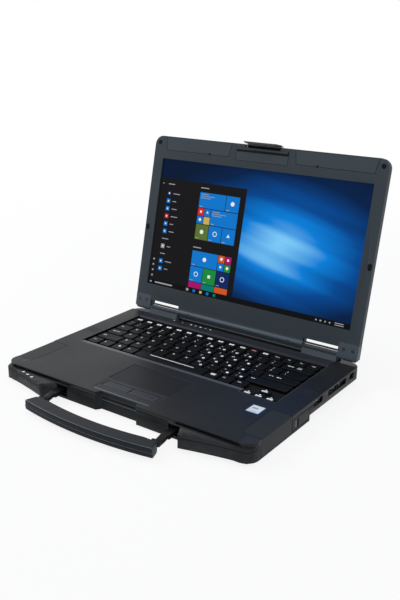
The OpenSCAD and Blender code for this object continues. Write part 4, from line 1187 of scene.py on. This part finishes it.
def build_back_lines():
    """The round-cornered field and the two upright lines on the lid's back."""
    y = lid_back - 0.02
    field = [(x, y, z) for x, z, level in round_loop((0, 128, 0), 300, 190, 10)]
    ridges = [rod_along("field_line", field, 0.35, closed=True),
              rods("upright_lines", [[(x, y, 40), (x, y, 216)] for x in (-128, 128)], 0.35)]
    lid_trim(join("lid_back_lines", ridges), seam_black, "lid_plastic")


def build_latch_seat():
    """The end of the rubber strip, and the wall behind the latch in near-black rubber as painted shade under
    the latch.
    """
    end = block("seal_end", (36.2, lid_face - 0.6, lid_top - 7.4), (38.2, lid_face + 0.3, lid_top - 4.6))
    lid_trim(soften(end, 0.4, 2), rubber_black, "rubber")
    # Painted shade: the lid's wall here is given near-black rubber to look dark under the latch.
    wall = block("latch_wall", (-25.8, 2.55, lid_top - 4.2), (25.8, 3.75, lid_top - 0.3))
    lid_trim(soften(wall, 0.2, 2), rubber_black, "lid_plastic")


build_label()
build_indicators()
build_pad_trims()
build_wings()
build_well_rim()
build_cap_seams()
build_case_seams()
build_rear_lip()
build_hinge_shade_bands()
build_slot_frames()
build_frame_lines()
build_back_lines()
build_latch_seat()


# ---------- stage, lights and camera
def sheet_of_light(name, place, target, size, power):
    """A soft rectangular lamp that looks at a target."""
    lamp = bpy.data.lights.new(name, "AREA")
    lamp.shape = "RECTANGLE"
    lamp.size, lamp.size_y = size
    lamp.energy = power
    obj = add_object(name, lamp)
    obj.location = place
    obj.rotation_euler = (Vector(target) - Vector(place)).to_track_quat("-Z", "Y").to_euler()


def seen_directly(tree):
    """1 for rays that come straight from the camera, a mirror or glass."""
    rays = tree.nodes.new("ShaderNodeLightPath").outputs
    seen = rays["Is Camera Ray"]
    for other in ("Is Glossy Ray", "Is Transmission Ray"):
        seen = combine(tree, "MAXIMUM", seen, rays[other])
    return seen


def blend_into(tree, share, plain, bright, output):
    """Blends two shaders by a share and feeds the surface."""
    blend = tree.nodes.new("ShaderNodeMixShader")
    tree.links.new(share, blend.inputs["Fac"])
    tree.links.new(plain, blend.inputs[1])
    tree.links.new(bright, blend.inputs[2])
    tree.links.new(blend.outputs["Shader"], output.inputs["Surface"])


def floor_material():
    """Pale floor that looks white and still shows a faint shadow."""
    look = Look("pale_floor")
    look.feed(look.main, Base_Color=(0.82, 0.82, 0.82, 1), Roughness=0.9)
    near = look.halo(look.mapped(look.place, Scale=(0.8, 0.8, 0.8)))
    share = combine(look.tree, "MULTIPLY", seen_directly(look.tree), look.spread(near, 0, 0.6, 1, 0.86))
    white = look.add("Emission", Color=(1, 1, 1, 1), Strength=1)
    blend_into(look.tree, share, look.main.outputs["BSDF"], white.outputs["Emission"],
               look.tree.nodes["Material Output"])
    return look.material


def build_stage():
    deselect()
    bpy.ops.mesh.primitive_plane_add(size=200, location=(0, 0, 0))
    floor = name_new("floor")
    floor.data.materials.append(floor_material())
    world = bpy.data.worlds.new("studio")
    bpy.context.scene.world = world
    world.use_nodes = True
    tree = world.node_tree
    back = tree.nodes["Background"]
    back.inputs["Color"].default_value = (0.9, 0.93, 1, 1)
    back.inputs["Strength"].default_value = 0.5
    bright = tree.nodes.new("ShaderNodeBackground")
    bright.inputs["Color"].default_value = (1, 1, 1, 1)
    bright.inputs["Strength"].default_value = 1
    blend_into(tree, seen_directly(tree), back.outputs["Background"], bright.outputs["Background"],
               tree.nodes["World Output"])
    sheet_of_light("window_left", (-1.3, -0.2, 1.1), (0, 0, 0.05), (1.2, 1.2), 14)
    sheet_of_light("window_top", (0.2, 0.2, 1.6), (0, 0, 0.05), (1.4, 1), 7)
    sheet_of_light("window_front", (0.9, -1.5, 0.9), (0, 0, 0.1), (1, 0.8), 4)


def build_camera():
    """Camera at the front right, a little above the screen's top."""
    place = mm(517.1, -699.2, 400)
    heading, pitch, roll = radians(35.9), radians(18.85), radians(0.5)
    camera = bpy.data.cameras.new("camera")
    camera.sensor_fit = "VERTICAL"
    camera.sensor_height = camera.sensor_width = 36
    focal_pixels, frame_height = 793, 600
    camera.lens = focal_pixels / frame_height * 36
    camera.shift_x = 10 / frame_height
    obj = add_object("camera", camera)
    obj.matrix_world = (Matrix.Translation(place) @ Matrix.Rotation(heading, 4, "Z")
                        @ Matrix.Rotation(pi / 2 - pitch, 4, "X") @ Matrix.Rotation(roll, 4, "Z"))
    bpy.context.scene.camera = obj


build_stage()
build_camera()
bpy.context.scene.view_settings.view_transform = "Standard"
